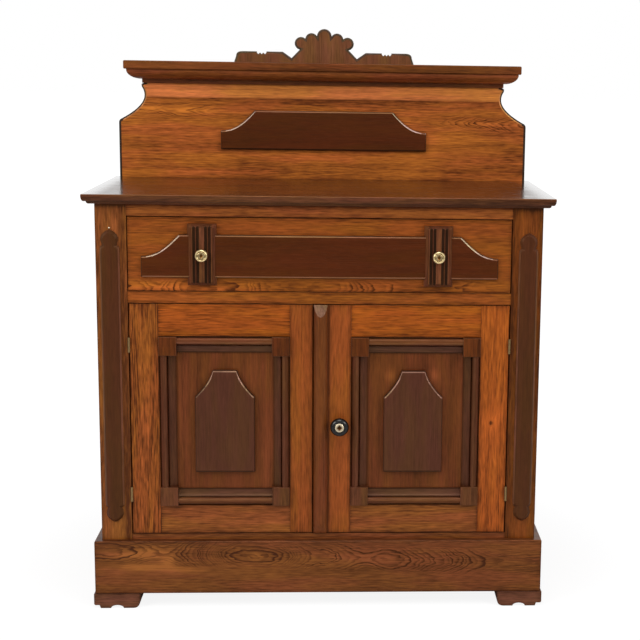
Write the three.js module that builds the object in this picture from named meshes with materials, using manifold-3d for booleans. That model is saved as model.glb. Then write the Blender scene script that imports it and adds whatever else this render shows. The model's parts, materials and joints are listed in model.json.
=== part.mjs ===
// Dry sink cabinet in the form of a carved washstand: a drawer over a two-door cupboard,
// a moulded top and a tall splash board with a crown and a carved crest.
// Millimetres, +Z up, the front faces -Y, origin on the floor under the middle of the top.
import * as THREE from 'three';
import { mergeVertices } from 'three/addons/utils/BufferGeometryUtils.js';
import Module from 'manifold-3d';

// Heights of the front, from the floor to the top
const footHeight = 28.5;
const plinthHeight = 103;
const railAbovePlinth = 11;
const doorOpeningHeight = 444;
const middleRailHeight = 22;
const drawerOpeningHeight = 139;
const topRailHeight = 23;
const counterThickness = 18;

// Edge of the top, from its upper face down
const counterArris = 1;
const counterLipHeight = 3;
const counterOvoloReach = 4.5;
const counterStepReach = 3.5;
const counterBeadReach = 4;
const counterBeadHeight = 5;

// Case
const counterWidth = 864;
const counterDepth = 420;
const counterFrontOverhang = 26;
const counterSideOverhang = 20;
const frontPostWidth = 57;
const faceFrameThickness = 22;
const topRailDepth = 46;
const bottomRailHeight = 29;
const sideThickness = 20;
const sideStileWidth = 58;
const sideRailHeight = 62;
const sidePanelThickness = 7;
const sidePanelLap = 9;
const sidePanelRecess = 9;
const backThickness = 8;
const backInset = 3;
const floorThickness = 15;
const runnerShelfHeight = 15;
const runnerReach = 24;
const runnerGuideHeight = 22;
const plinthThickness = 13;
const plinthArris = 1.5;
const footWidth = 86;
const footProud = 2.5;
const footPadHeight = 6;
const footPadStep = 2;
const footPadStartShare = 0.12;
const footArchShare = 0.51;
const footArchHalfShare = 0.14;
const footPadEndShare = 0.85;
const footToeShare = 0.34;
const jointClearance = 0.3;
const overrun = 5;
const samePointMargin = 1e-6;

// Splash board, crown and crest
const splashThickness = 22;
const splashHousingDepth = 5;
const splashEndInset = 11;
const splashShoulderHeight = 117;
const splashNeckInset = 53;
const splashNeckHeight = 168.5;
const splashHornInset = 45.5;
const splashHornHeight = 187.5;
const splashHeadInset = 56;
const splashSweepShare = 0.53;
const splashHornShare = 0.6;
const crownBaseHeight = 193;
const crownFilletHeight = 8;
const crownFilletReach = 6;
const crownOvoloHeight = 18.5;
const crownOvoloReach = 28;
const crownListHeight = 1.5;
const crownShelfThickness = 17;
const crownShelfReach = 5;
const crownShelfArris = 1.5;
const crestThickness = 18;
const crestSetback = 16;
const crestWidth = 368;
const crestWingHeight = 22;
const crestWingRound = 13;
const crestWingToe = 12;
const crestWingSlant = 4;
const crestWingInner = 85;
const crestNotchOffset = 128;
const crestNotchWidth = 20;
const crestNotchSink = 2.5;
const crestNotchDepth = 3.5;
const crestNotchCount = 3;
const crestVeeOffset = 67;
const crestVeeHeight = 9.5;
const crestThroatOffset = 50;
const crestThroatHeight = 27;
const crestLobeShares = [
  { across: 0.1291, up: 0.1073, round: 0.0353 },
  { across: 0.0707, up: 0.1291, round: 0.0353 },
  { across: 0, up: 0.1467, round: 0.0408 },
];

// Applied walnut ornaments
const splashPlaqueWidth = 424;
const splashPlaqueFlatWidth = 285;
const splashPlaqueHeight = 80;
const splashPlaqueEndHeight = 38;
const splashPlaqueLift = 60;
const plaqueThickness = 8;
const plaqueEdge = 3;
const plaqueSweepShare = 0.5;
const splashOgeeShare = 0.35;
const drawerOgeeShare = 0.4;
const drawerPlaqueEndGap = 26;
const drawerPlaqueSweep = 70;
const drawerPlaqueHeight = 79;
const drawerPlaqueEndHeight = 38.5;
const drawerPlaqueLift = 26;
const drawerBlockWidth = 53;
const drawerBlockEndGap = 11.75;
const drawerBlockThickness = 12;
const drawerBlockInset = 137.5;
const drawerBlockBevel = 6;
const fluteWidth = 5;
const fluteDepth = 2.4;
const flutePairPitch = 6.8;
const flutePairSpacing = 21.6;
const postStripWidth = 36;
const postStripTopGap = 48;
const postStripLift = 35;
const postStripThickness = 6;
const postStripBevel = 4.5;
const postStripOffset = 26;
const stripShoulderShare = 0.9;
const stripShoulderDrop = 19;
const stripNotchShare = 0.74;
const stripNotchDrop = 29;
const stripNeckDrop = 43;
const stripTipShare = 0.3;

// Drawer
const drawerGap = 1.5;
const drawerBottomGap = 1;
const drawerFrontThickness = 20;
const drawerSideThickness = 12;
const drawerSideDrop = 18.5;
const drawerBackRoom = 23;
const drawerBottomThickness = 6;
const drawerBottomLift = 9;
const drawerGrooveDepth = 6;
const drawerBackDrop = 8;
const dovetailCount = 4;
const dovetailDepth = 12;
const dovetailBaseShare = 0.5;
const dovetailTipShare = 0.68;
const drawerRunningClearance = 0.3;
const drawerKnobDiameter = 24;
const drawerKnobLength = 13;
const drawerKnobShares = [
  [0, 0], [0.45, 0], [0.45, 0.2], [0.9, 0.42], [1, 0.55],
  [1, 0.75], [0.86, 0.95], [0.55, 1], [0.4, 0.85], [0, 0.8],
];

// Doors
const doorThickness = 20;
const doorSideGap = 2;
const doorEndGap = 1.5;
const doorMeetingGap = 2;
const doorStileWidth = 53;
const doorTopRailHeight = 60.5;
const doorBottomRailHeight = 55;
const panelInset = 57;
const panelThickness = 6;
const panelRecess = 8;
const panelGrooveDepth = 8;
const mouldingWidth = 31;
const mouldingSunkWidth = 2.5;
const mouldingSunkHeight = 6;
const mouldingBeadWidth = 12.5;
const mouldingBeadHeight = 15;
const mouldingBeadSpring = 10;
const mouldingQuirkHeight = 5.5;
const mouldingQuirkWidth = 2;
const mouldingCoveHeight = 9.5;
const mouldingListHeight = 3;
const mouldingListWidth = 2;
const cornerBlockWidth = 33;
const cornerBlockHeight = 36;
const cornerBlockThickness = 16.5;
const cornerBlockEdge = 1.5;
const shieldWidthShare = 0.457;
const shieldHeightShare = 0.602;
const shieldTopShare = 0.405;
const shieldShoulderShare = 0.26;
const shieldThickness = 10;
const rightShieldShift = 4;
const shieldEdge = 3;
const shieldHollowAcrossShare = 0.2;
const shieldHollowDownShare = 0.5;
const astragalWidth = 26;
const astragalThickness = 12;
const astragalBevelLength = 22;
const astragalTipThickness = 3;

// Latch knob and hinges
const doorKnobDiameter = 35;
const doorKnobLength = 24;
const doorKnobShares = [
  [0.78, 0], [0.78, 0.1], [0.5, 0.25], [0.46, 0.42], [0.97, 0.66], [1, 0.76],
  [0.9, 0.93], [0.66, 1], [0.56, 0.97], [0.54, 0.9], [0, 0.9],
];
const doorKnobOffset = 36;
const doorKnobDrop = 9.5;
const latchTongueLength = 66;
const latchTongueWidth = 12;
const latchTongueThickness = 3;
const latchSpindleDiameter = 8;
const latchBoreClearance = 0.4;
const latchStandoff = 1;
const hingeHeight = 28;
const hingeInset = 63;
const hingeLeafThickness = 0.7;
const hingeBarrelDiameter = 5;
const hingePinDiameter = 2.4;
const hingePinClearance = 0.15;
const hingeLeafDepth = 17;
const hingeKnuckleCount = 3;

// Levels and faces worked out from the sizes above
const counterBottom = footHeight + plinthHeight + railAbovePlinth + doorOpeningHeight
  + middleRailHeight + drawerOpeningHeight + topRailHeight;
const counterTop = counterBottom + counterThickness;
const plinthTop = footHeight + plinthHeight;
const doorOpeningBottom = plinthTop + railAbovePlinth;
const plinthRailBottom = doorOpeningBottom - bottomRailHeight;
const doorOpeningTop = doorOpeningBottom + doorOpeningHeight;
const drawerOpeningBottom = doorOpeningTop + middleRailHeight;
const drawerOpeningTop = drawerOpeningBottom + drawerOpeningHeight;
const caseHalfWidth = counterWidth / 2 - counterSideOverhang;
const caseFront = counterFrontOverhang - counterDepth / 2;
const caseBack = counterDepth / 2;
const openingHalfWidth = caseHalfWidth - frontPostWidth;
const splashHalfWidth = counterWidth / 2 - splashEndInset;
const splashHeadHalfWidth = splashHalfWidth - splashHeadInset;
const faceFrameBack = caseFront + faceFrameThickness;
const sideInnerFace = caseHalfWidth - sideThickness;
const backPanelFront = caseBack - backInset - backThickness;
const splashFront = caseBack - splashThickness;
const crownBase = counterTop + crownBaseHeight;
const crownMouldingHeight = crownFilletHeight + crownOvoloHeight + crownListHeight;
const crownShelfBottom = crownBase + crownMouldingHeight;
const crownShelfTop = crownShelfBottom + crownShelfThickness;

// Finishes
const chestnut = new THREE.MeshStandardMaterial({ color: 0xa65f2c, roughness: 0.38, metalness: 0 });
const walnut = new THREE.MeshStandardMaterial({ color: 0x4f2a16, roughness: 0.34, metalness: 0 });
const paleWood = new THREE.MeshStandardMaterial({ color: 0xb98a58, roughness: 0.7, metalness: 0 });
const brass = new THREE.MeshStandardMaterial({ color: 0xb99a5b, roughness: 0.3, metalness: 1 });

const wasm = await Module();
wasm.setup();

// Turns a closed three.js geometry into a solid that can be joined and cut
function solidOf(geometry) {
  const bare = geometry.clone();
  bare.deleteAttribute('normal');
  bare.deleteAttribute('uv');
  const merged = mergeVertices(bare);
  return new wasm.Manifold(new wasm.Mesh({
    numProp: 3,
    vertProperties: new Float32Array(merged.attributes.position.array),
    triVerts: new Uint32Array(merged.index.array),
  }));
}

function geometryOf(solid) {
  const mesh = solid.getMesh();
  const geometry = new THREE.BufferGeometry();
  geometry.setAttribute('position', new THREE.BufferAttribute(mesh.vertProperties, 3));
  geometry.setIndex(new THREE.BufferAttribute(mesh.triVerts, 1));
  geometry.computeVertexNormals();
  return geometry;
}

function cut(geometry, ...cutters) {
  const left = cutters.reduce((solid, cutter) => solid.subtract(solidOf(cutter)), solidOf(geometry));
  return geometryOf(left);
}

function join(...geometries) {
  return geometryOf(geometries.map(solidOf).reduce((whole, next) => whole.add(next)));
}

// A plain board between two opposite corners
function board(low, high) {
  const size = high.map((value, axis) => value - low[axis]);
  const geometry = new THREE.BoxGeometry(...size);
  geometry.translate(...low.map((value, axis) => value + size[axis] / 2));
  return geometry;
}

// An outline of x and z, pushed from y = from to y = to
function extrudeY(shape, from, to) {
  const geometry = new THREE.ExtrudeGeometry(shape, { depth: to - from, bevelEnabled: false });
  geometry.rotateX(Math.PI / 2);
  geometry.translate(0, to, 0);
  return geometry;
}

// An outline of y and z, pushed from x = from to x = to
function extrudeX(shape, from, to) {
  const geometry = new THREE.ExtrudeGeometry(shape, { depth: to - from, bevelEnabled: false });
  geometry.applyMatrix4(new THREE.Matrix4().makeBasis(
    new THREE.Vector3(0, 1, 0),
    new THREE.Vector3(0, 0, 1),
    new THREE.Vector3(1, 0, 0),
  ));
  geometry.translate(from, 0, 0);
  return geometry;
}

// An outline of x and y, pushed from z = from to z = to
function extrudeZ(shape, from, to) {
  const geometry = new THREE.ExtrudeGeometry(shape, { depth: to - from, bevelEnabled: false });
  geometry.translate(0, 0, from);
  return geometry;
}

function shapeOf(points) {
  return new THREE.Shape(points.map(([x, y]) => new THREE.Vector2(x, y)));
}

// A flat ornament with rounded or bevelled front edges: its back lies at y = back and it stands
// out towards -Y. One edge step gives a flat bevel.
function edgedPlate(shape, back, thickness, edge, edgeSteps = 3) {
  const plate = new THREE.ExtrudeGeometry(shape, {
    depth: thickness - edge,
    bevelThickness: edge,
    bevelSize: edge,
    bevelOffset: -edge,
    bevelSegments: edgeSteps,
  });
  plate.computeBoundingBox();
  const { min, max } = plate.boundingBox;
  const behind = board(
    [min.x - overrun, min.y - overrun, min.z - overrun],
    [max.x + overrun, max.y + overrun, 0],
  );
  const trimmed = cut(plate, behind);
  trimmed.rotateX(Math.PI / 2);
  trimmed.translate(0, back, 0);
  return trimmed;
}

// A board whose front and end edges follow one profile of [inset, height] points, its back edge square
function mouldedSlab(halfWidth, front, back, profile) {
  const rings = profile.map(([inset, height]) => [
    [inset - halfWidth, front + inset, height],
    [halfWidth - inset, front + inset, height],
    [halfWidth - inset, back, height],
    [inset - halfWidth, back, height],
  ]);
  const positions = [];
  const quad = (a, b, c, d) => positions.push(...a, ...b, ...c, ...a, ...c, ...d);
  for (let level = 1; level < rings.length; level += 1) {
    for (let corner = 0; corner < 4; corner += 1) {
      const next = (corner + 1) % 4;
      quad(rings[level - 1][corner], rings[level - 1][next], rings[level][next], rings[level][corner]);
    }
  }
  quad(...[...rings[0]].reverse());
  quad(...rings[rings.length - 1]);
  return closedGeometry(positions);
}

// A moulding run along the front and both ends of a block, mitred at the two front corners.
// The profile is a closed outline of [reach, height] points, counter-clockwise.
function mitredMoulding(profile, halfWidth, front, back) {
  const stations = [
    ([reach, height]) => [-halfWidth - reach, back, height],
    ([reach, height]) => [-halfWidth - reach, front - reach, height],
    ([reach, height]) => [halfWidth + reach, front - reach, height],
    ([reach, height]) => [halfWidth + reach, back, height],
  ].map((place) => profile.map(place));
  const positions = [];
  for (let station = 1; station < stations.length; station += 1) {
    const [before, after] = [stations[station - 1], stations[station]];
    profile.forEach((_, index) => {
      const next = (index + 1) % profile.length;
      positions.push(...before[index], ...after[index], ...after[next]);
      positions.push(...before[index], ...after[next], ...before[next]);
    });
  }
  const outline = profile.map(([reach, height]) => new THREE.Vector2(reach, height));
  for (const [a, b, c] of THREE.ShapeUtils.triangulateShape(outline, [])) {
    const first = stations[0];
    const last = stations[stations.length - 1];
    positions.push(...first[a], ...first[b], ...first[c]);
    positions.push(...last[c], ...last[b], ...last[a]);
  }
  return closedGeometry(positions);
}

function closedGeometry(positions) {
  const geometry = new THREE.BufferGeometry();
  geometry.setAttribute('position', new THREE.Float32BufferAttribute(positions, 3));
  geometry.computeVertexNormals();
  return geometry;
}

// Points of a quarter of an ellipse round a centre, from one angle to another
function arcPoints(centre, radii, fromAngle, toAngle, steps) {
  return Array.from({ length: steps + 1 }, (_, index) => {
    const angle = fromAngle + (toAngle - fromAngle) * (index / steps);
    return [centre[0] + radii[0] * Math.cos(angle), centre[1] + radii[1] * Math.sin(angle)];
  });
}

// A turned piece on an axis parallel to Y. The profile is [radius, reach] points, reach towards -Y.
function turned(profile, x, y, z, segments = 32) {
  const points = profile.map(([radius, reach]) => new THREE.Vector2(radius, reach));
  const geometry = new THREE.LatheGeometry(points, segments);
  geometry.rotateX(Math.PI);
  geometry.translate(x, y, z);
  return geometry;
}

function uprightCylinder(radius, x, y, low, high, segments = 24) {
  const geometry = new THREE.CylinderGeometry(radius, radius, high - low, segments);
  geometry.rotateX(Math.PI / 2);
  geometry.translate(x, y, (low + high) / 2);
  return geometry;
}

function curvePoints(curve, steps) {
  return curve.getPoints(steps).map((point) => [point.x, point.y]);
}

function quadratic(from, control, to) {
  return new THREE.QuadraticBezierCurve(...[from, control, to].map(([x, y]) => new THREE.Vector2(x, y)));
}

function cubic(from, controlFrom, controlTo, to) {
  const points = [from, controlFrom, controlTo, to].map(([x, y]) => new THREE.Vector2(x, y));
  return new THREE.CubicBezierCurve(...points);
}

// A closed outline that is alike left and right, from the points of its right half, bottom to top
function symmetricShape(rightHalf, centreX = 0) {
  const leftHalf = [...rightHalf].reverse().filter(([x]) => x > samePointMargin).map(([x, z]) => [-x, z]);
  return shapeOf([...rightHalf, ...leftHalf].map(([x, z]) => [centreX + x, z]));
}

// The lower and the higher of two x values on one side of the cabinet: -1 is left, 1 is right
function span(side, inner, outer) {
  return [side * inner, side * outer].sort((a, b) => a - b);
}

const sides = [[-1, 'left'], [1, 'right']];
const cabinet = new THREE.Group();

function add(name, geometry, material) {
  const mesh = new THREE.Mesh(geometry, material);
  mesh.name = name;
  cabinet.add(mesh);
}

// Top: one board, its front and ends worked to an ovolo over a small bead, with a shallow housing
// along the back that takes the foot of the splash board
function countertop() {
  const total = counterOvoloReach + counterStepReach + counterBeadReach;
  const beadTop = counterBottom + counterBeadHeight;
  const ovoloTop = counterTop - counterLipHeight;
  const beadRadii = [counterBeadReach, counterBeadHeight];
  const ovoloRadii = [counterOvoloReach, ovoloTop - beadTop];
  const profile = [
    ...arcPoints([total, beadTop], beadRadii, 1.5 * Math.PI, Math.PI, 4),
    ...arcPoints([counterOvoloReach, ovoloTop], ovoloRadii, 1.5 * Math.PI, Math.PI, 6),
    [0, counterTop - counterArris],
    [counterArris, counterTop],
  ];
  const slab = mouldedSlab(counterWidth / 2, -counterDepth / 2, caseBack, profile);
  const housingHalfWidth = splashHalfWidth + jointClearance;
  return cut(slab, board(
    [-housingHalfWidth, splashFront - jointClearance, counterTop - splashHousingDepth],
    [housingHalfWidth, caseBack + overrun, counterTop + overrun],
  ));
}

// Splash board: square shoulders, swept in to a neck and out again to small horns under the crown
function splashBoard() {
  const shoulder = [splashHalfWidth, counterTop + splashShoulderHeight];
  const neck = [splashHalfWidth - splashNeckInset, counterTop + splashNeckHeight];
  const horn = [splashHalfWidth - splashHornInset, counterTop + splashHornHeight];
  const sweepControl = [neck[0], shoulder[1] + (neck[1] - shoulder[1]) * splashSweepShare];
  const hornControl = [neck[0], neck[1] + (horn[1] - neck[1]) * splashHornShare];
  const half = [
    [splashHalfWidth, counterTop - splashHousingDepth],
    ...curvePoints(quadratic(shoulder, sweepControl, neck), 14),
    ...curvePoints(quadratic(neck, hornControl, horn), 6).slice(1),
    [splashHeadHalfWidth + crownFilletReach, crownBase],
    [splashHeadHalfWidth, crownBase],
    [splashHeadHalfWidth, crownShelfBottom],
  ];
  return extrudeY(symmetricShape(half), splashFront, caseBack);
}

// Crown: an ovolo moulding mitred round the head of the splash board, under a projecting shelf
function crownMoulding() {
  const ovoloTop = crownBase + crownFilletHeight + crownOvoloHeight;
  const ovoloRadii = [crownOvoloReach, crownOvoloHeight];
  const profile = [
    [0, crownBase],
    [crownFilletReach, crownBase],
    ...arcPoints([crownFilletReach, ovoloTop], ovoloRadii, -Math.PI / 2, 0, 8),
    [crownFilletReach + crownOvoloReach, crownShelfBottom],
    [0, crownShelfBottom],
  ];
  return mitredMoulding(profile, splashHeadHalfWidth, splashFront, caseBack);
}

function crownShelf() {
  const reach = crownFilletReach + crownOvoloReach + crownShelfReach;
  const profile = [
    [crownShelfArris, crownShelfBottom],
    [0, crownShelfBottom + crownShelfArris],
    [0, crownShelfTop - crownShelfArris],
    [crownShelfArris, crownShelfTop],
  ];
  return mouldedSlab(splashHeadHalfWidth + reach, splashFront - reach, caseBack, profile);
}

// Where the outlines of two neighbouring lobes cross, on the outer side of the fan
function lobeCrossing(first, second) {
  const across = [second.x - first.x, second.z - first.z];
  const distance = Math.hypot(...across);
  const along = (distance ** 2 + first.radius ** 2 - second.radius ** 2) / (2 * distance);
  const out = Math.sqrt(first.radius ** 2 - along ** 2);
  const unit = across.map((value) => value / distance);
  return [first.x + unit[0] * along - unit[1] * out, first.z + unit[1] * along + unit[0] * out];
}

// Crest: a fretted board, a fan of five round lobes between two low wings with notched tops
function crestHalfOutline() {
  const [outer, middle, centre] = crestLobeShares.map(({ across, up, round }) => ({
    x: across * crestWidth,
    z: crownShelfTop + up * crestWidth,
    radius: round * crestWidth,
  }));
  const wingTop = crownShelfTop + crestWingHeight;
  const sunkTop = wingTop - crestNotchSink;
  const notchStart = crestNotchOffset + crestNotchWidth / 2;
  const notchPitch = crestNotchWidth / crestNotchCount;
  const notches = Array.from({ length: crestNotchCount }, (_, index) => {
    const right = notchStart - index * notchPitch;
    return [[right, sunkTop], [right - notchPitch / 2, sunkTop - crestNotchDepth]];
  }).flat();
  const arcOf = (lobe, from, to, steps) => {
    const angle = ([x, z]) => Math.atan2(z - lobe.z, x - lobe.x);
    return arcPoints([lobe.x, lobe.z], [lobe.radius, lobe.radius], angle(from), angle(to), steps);
  };
  const throat = [crestThroatOffset, crownShelfTop + crestThroatHeight];
  const outerToMiddle = lobeCrossing(middle, outer);
  const middleToCentre = lobeCrossing(centre, middle);
  const wingShoulder = crestWidth / 2 - crestWingSlant;
  const wingToe = [wingShoulder, crownShelfTop + crestWingToe];
  const wingCorner = [wingShoulder, wingTop];
  const wingEnd = [wingShoulder - crestWingRound, wingTop];
  return [
    [crestWidth / 2, crownShelfTop],
    ...curvePoints(quadratic(wingToe, wingCorner, wingEnd), 5),
    [notchStart, wingTop],
    ...notches,
    [notchStart - crestNotchWidth, sunkTop],
    [notchStart - crestNotchWidth, wingTop],
    [crestWingInner, wingTop],
    [crestVeeOffset, crownShelfTop + crestVeeHeight],
    ...arcOf(outer, throat, outerToMiddle, 10),
    ...arcOf(middle, outerToMiddle, middleToCentre, 8).slice(1),
    ...arcOf(centre, middleToCentre, [centre.x, centre.z + centre.radius], 7).slice(1),
  ];
}

function crest() {
  const front = splashFront - crownFilletReach + crestSetback - crestThickness;
  return extrudeY(symmetricShape(crestHalfOutline()), front, front + crestThickness);
}

// A plaque with a level middle and drooping ends, on the face at y = back
function plaque(width, flatWidth, height, endHeight, bottom, back, ogeeShare) {
  const end = [width / 2, bottom + endHeight];
  const top = [flatWidth / 2, bottom + height];
  const sweep = (end[0] - top[0]) * plaqueSweepShare;
  const rise = (top[1] - end[1]) * plaqueSweepShare;
  const endControl = [end[0] - sweep, end[1]];
  const topControl = [top[0] + sweep * ogeeShare, top[1] - rise * (1 - ogeeShare)];
  const half = [[width / 2, bottom], ...curvePoints(cubic(end, endControl, topControl, top), 10)];
  return edgedPlate(symmetricShape(half), back, plaqueThickness, plaqueEdge);
}

// Corner post, with its applied strip: a bevelled bar with a lancet tip at both ends
function frontPost(side) {
  const [left, right] = span(side, openingHalfWidth, caseHalfWidth);
  return board([left, caseFront, footHeight], [right, faceFrameBack, counterBottom]);
}

function postStrip(side) {
  const halfWidth = postStripWidth / 2;
  const bottom = plinthTop + postStripLift;
  const top = counterBottom - postStripTopGap;
  const lancet = [
    [0, 0],
    [stripShoulderShare * halfWidth, stripShoulderDrop],
    [stripNotchShare * halfWidth, stripNotchDrop],
    [halfWidth, stripNeckDrop],
  ];
  const [tip, shoulder, notch, neck] = lancet;
  const fromTip = [
    ...curvePoints(quadratic(tip, [shoulder[0], shoulder[1] * stripTipShare], shoulder), 5),
    notch,
    ...curvePoints(quadratic(notch, [neck[0], notch[1]], neck), 4).slice(1),
  ];
  const half = [
    ...fromTip.map(([x, drop]) => [x, bottom + drop]),
    ...[...fromTip].reverse().map(([x, drop]) => [x, top - drop]),
  ];
  const shape = symmetricShape(half, side * (caseHalfWidth - postStripOffset));
  return edgedPlate(shape, caseFront, postStripThickness, postStripBevel, 1);
}

// Side: a frame of stiles and rails with a rebate inside that holds a flat panel
const sideOpening = {
  front: caseFront + sideStileWidth,
  back: caseBack - sideStileWidth,
  bottom: plinthTop + sideRailHeight,
  top: counterBottom - sideRailHeight,
};

function sideFrame(side) {
  const shape = shapeOf([
    [faceFrameBack, footHeight],
    [caseBack, footHeight],
    [caseBack, counterBottom],
    [faceFrameBack, counterBottom],
  ]);
  const { front, back, bottom, top } = sideOpening;
  const opening = shapeOf([[front, bottom], [front, top], [back, top], [back, bottom]]);
  shape.holes.push(opening);
  const frame = extrudeX(shape, ...span(side, sideInnerFace, caseHalfWidth));
  const [left, right] = span(side, sideInnerFace - overrun, caseHalfWidth - sidePanelRecess);
  return cut(frame, board(
    [left, front - sidePanelLap, bottom - sidePanelLap],
    [right, back + sidePanelLap, top + sidePanelLap],
  ));
}

function sidePanel(side) {
  const { front, back, bottom, top } = sideOpening;
  const lap = sidePanelLap - jointClearance;
  const outer = caseHalfWidth - sidePanelRecess;
  const [left, right] = span(side, outer - sidePanelThickness, outer);
  return board([left, front - lap, bottom - lap], [right, back + lap, top + lap]);
}

// Boards between the two sides and the rails of the front
function rail(bottom, top, depth) {
  return board([-openingHalfWidth, caseFront, bottom], [openingHalfWidth, caseFront + depth, top]);
}

function cupboardFloor() {
  return board(
    [-sideInnerFace, faceFrameBack, doorOpeningBottom - floorThickness],
    [sideInnerFace, backPanelFront, doorOpeningBottom],
  );
}

function backPanel() {
  return board(
    [-sideInnerFace, backPanelFront, doorOpeningBottom - floorThickness],
    [sideInnerFace, backPanelFront + backThickness, counterBottom],
  );
}

// Runner: a ledge that carries the drawer's side, with a guide beside it
function drawerRunner(side) {
  const top = drawerBottom - drawerRunningClearance;
  const shape = shapeOf([
    [side * (openingHalfWidth - runnerReach), top - runnerShelfHeight],
    [side * sideInnerFace, top - runnerShelfHeight],
    [side * sideInnerFace, top + runnerGuideHeight],
    [side * openingHalfWidth, top + runnerGuideHeight],
    [side * openingHalfWidth, top],
    [side * (openingHalfWidth - runnerReach), top],
  ]);
  return extrudeY(shape, faceFrameBack, backPanelFront);
}

// Plinth: boards mitred round the front and both sides, on four low bracket feet
function plinth() {
  const profile = [
    [0, footHeight],
    [plinthThickness, footHeight],
    [plinthThickness, plinthTop - plinthArris],
    [plinthThickness - plinthArris, plinthTop],
    [0, plinthTop],
  ];
  return mitredMoulding(profile, caseHalfWidth, caseFront, caseBack);
}

function foot(side, front) {
  const outer = caseHalfWidth + plinthThickness + footProud;
  const archCentre = footWidth * footArchShare;
  const fromOuterEdge = [
    [0, footHeight],
    [0, footPadHeight + footPadStep],
    [footPadStep, footPadHeight],
    [footWidth * footPadStartShare, footPadHeight],
    [footWidth * footPadStartShare + footPadStep, 0],
    ...arcPoints([archCentre, 0], [footWidth * footArchHalfShare, footPadHeight], Math.PI, 0, 8),
    ...curvePoints(quadratic(
      [footWidth * footPadEndShare, 0],
      [footWidth - footPadStep, 0],
      [footWidth, footHeight * footToeShare],
    ), 5),
    [footWidth, footHeight],
  ];
  const shape = shapeOf(fromOuterEdge.map(([inset, height]) => [side * (outer - inset), height]));
  return extrudeY(shape, front, front + footWidth);
}

// Drawer: a front with lapped dovetails, two sides, a back and a bottom held in grooves
const drawerBottom = drawerOpeningBottom + drawerBottomGap;
const drawerTop = drawerOpeningTop - drawerGap;
const drawerHalfWidth = openingHalfWidth - drawerGap;
const drawerFrontBack = caseFront + drawerFrontThickness;
const drawerBoxBack = backPanelFront - drawerBackRoom;
const drawerSideHeight = drawerTop - drawerBottom - drawerSideDrop;
const drawerGrooveBottom = drawerBottom + drawerBottomLift;
const drawerGrooveTop = drawerGrooveBottom + drawerBottomThickness + 2 * jointClearance;

// The outline of a drawer side, with tails on both ends; a grown one cuts the sockets for them
function dovetailedOutline(growth) {
  const pitch = drawerSideHeight / dovetailCount;
  const baseHalf = (pitch * dovetailBaseShare) / 2 + growth;
  const tipHalf = (pitch * dovetailTipShare) / 2 + growth;
  const frontShoulder = drawerFrontBack;
  const backShoulder = drawerBoxBack - dovetailDepth;
  const tail = (index, shoulder, tip) => {
    const middle = drawerBottom + pitch * (index + 0.5);
    return [
      [shoulder, middle - baseHalf],
      [tip, middle - tipHalf],
      [tip, middle + tipHalf],
      [shoulder, middle + baseHalf],
    ];
  };
  const count = [...Array(dovetailCount).keys()];
  const frontTip = frontShoulder - dovetailDepth - growth;
  const frontTails = count.flatMap((index) => tail(index, frontShoulder, frontTip));
  const backTails = count.flatMap((index) => tail(index, backShoulder, drawerBoxBack));
  return [
    [frontShoulder, drawerBottom],
    [backShoulder, drawerBottom],
    ...backTails,
    [backShoulder, drawerBottom + drawerSideHeight],
    [frontShoulder, drawerBottom + drawerSideHeight],
    ...[...frontTails].reverse(),
  ];
}

function drawerSide(side) {
  const inner = drawerHalfWidth - drawerSideThickness;
  const plain = extrudeX(shapeOf(dovetailedOutline(0)), ...span(side, inner, drawerHalfWidth));
  const [left, right] = span(side, inner - overrun, inner + drawerGrooveDepth);
  const groove = board(
    [left, drawerFrontBack - dovetailDepth - overrun, drawerGrooveBottom],
    [right, drawerBoxBack + overrun, drawerGrooveTop],
  );
  return cut(plain, groove);
}

function dovetailSockets() {
  return sides.map(([side]) => extrudeX(
    shapeOf(dovetailedOutline(jointClearance)),
    ...span(side, drawerHalfWidth - drawerSideThickness - jointClearance, drawerHalfWidth + overrun),
  ));
}

function drawerFront() {
  const plain = board(
    [-drawerHalfWidth, caseFront, drawerBottom],
    [drawerHalfWidth, drawerFrontBack, drawerTop],
  );
  const inner = drawerHalfWidth - drawerSideThickness + drawerGrooveDepth;
  const groove = board(
    [-inner, drawerFrontBack - drawerGrooveDepth, drawerGrooveBottom],
    [inner, drawerFrontBack + overrun, drawerGrooveTop],
  );
  return cut(plain, groove, ...dovetailSockets());
}

function drawerBack() {
  const plain = board(
    [-drawerHalfWidth, drawerBoxBack - dovetailDepth, drawerGrooveTop + jointClearance],
    [drawerHalfWidth, drawerBoxBack, drawerBottom + drawerSideHeight - drawerBackDrop],
  );
  return cut(plain, ...dovetailSockets());
}

function drawerBottomBoard() {
  const halfWidth = drawerHalfWidth - drawerSideThickness + drawerGrooveDepth - jointClearance;
  return board(
    [-halfWidth, drawerFrontBack - drawerGrooveDepth + jointClearance, drawerGrooveBottom + jointClearance],
    [halfWidth, drawerBoxBack, drawerGrooveBottom + jointClearance + drawerBottomThickness],
  );
}

// Fluted block that carries a drawer knob, notched behind where it crosses the plaque
const drawerBlockOffset = openingHalfWidth - drawerBlockInset;
const drawerMiddle = (drawerBottom + drawerTop) / 2;

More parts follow.
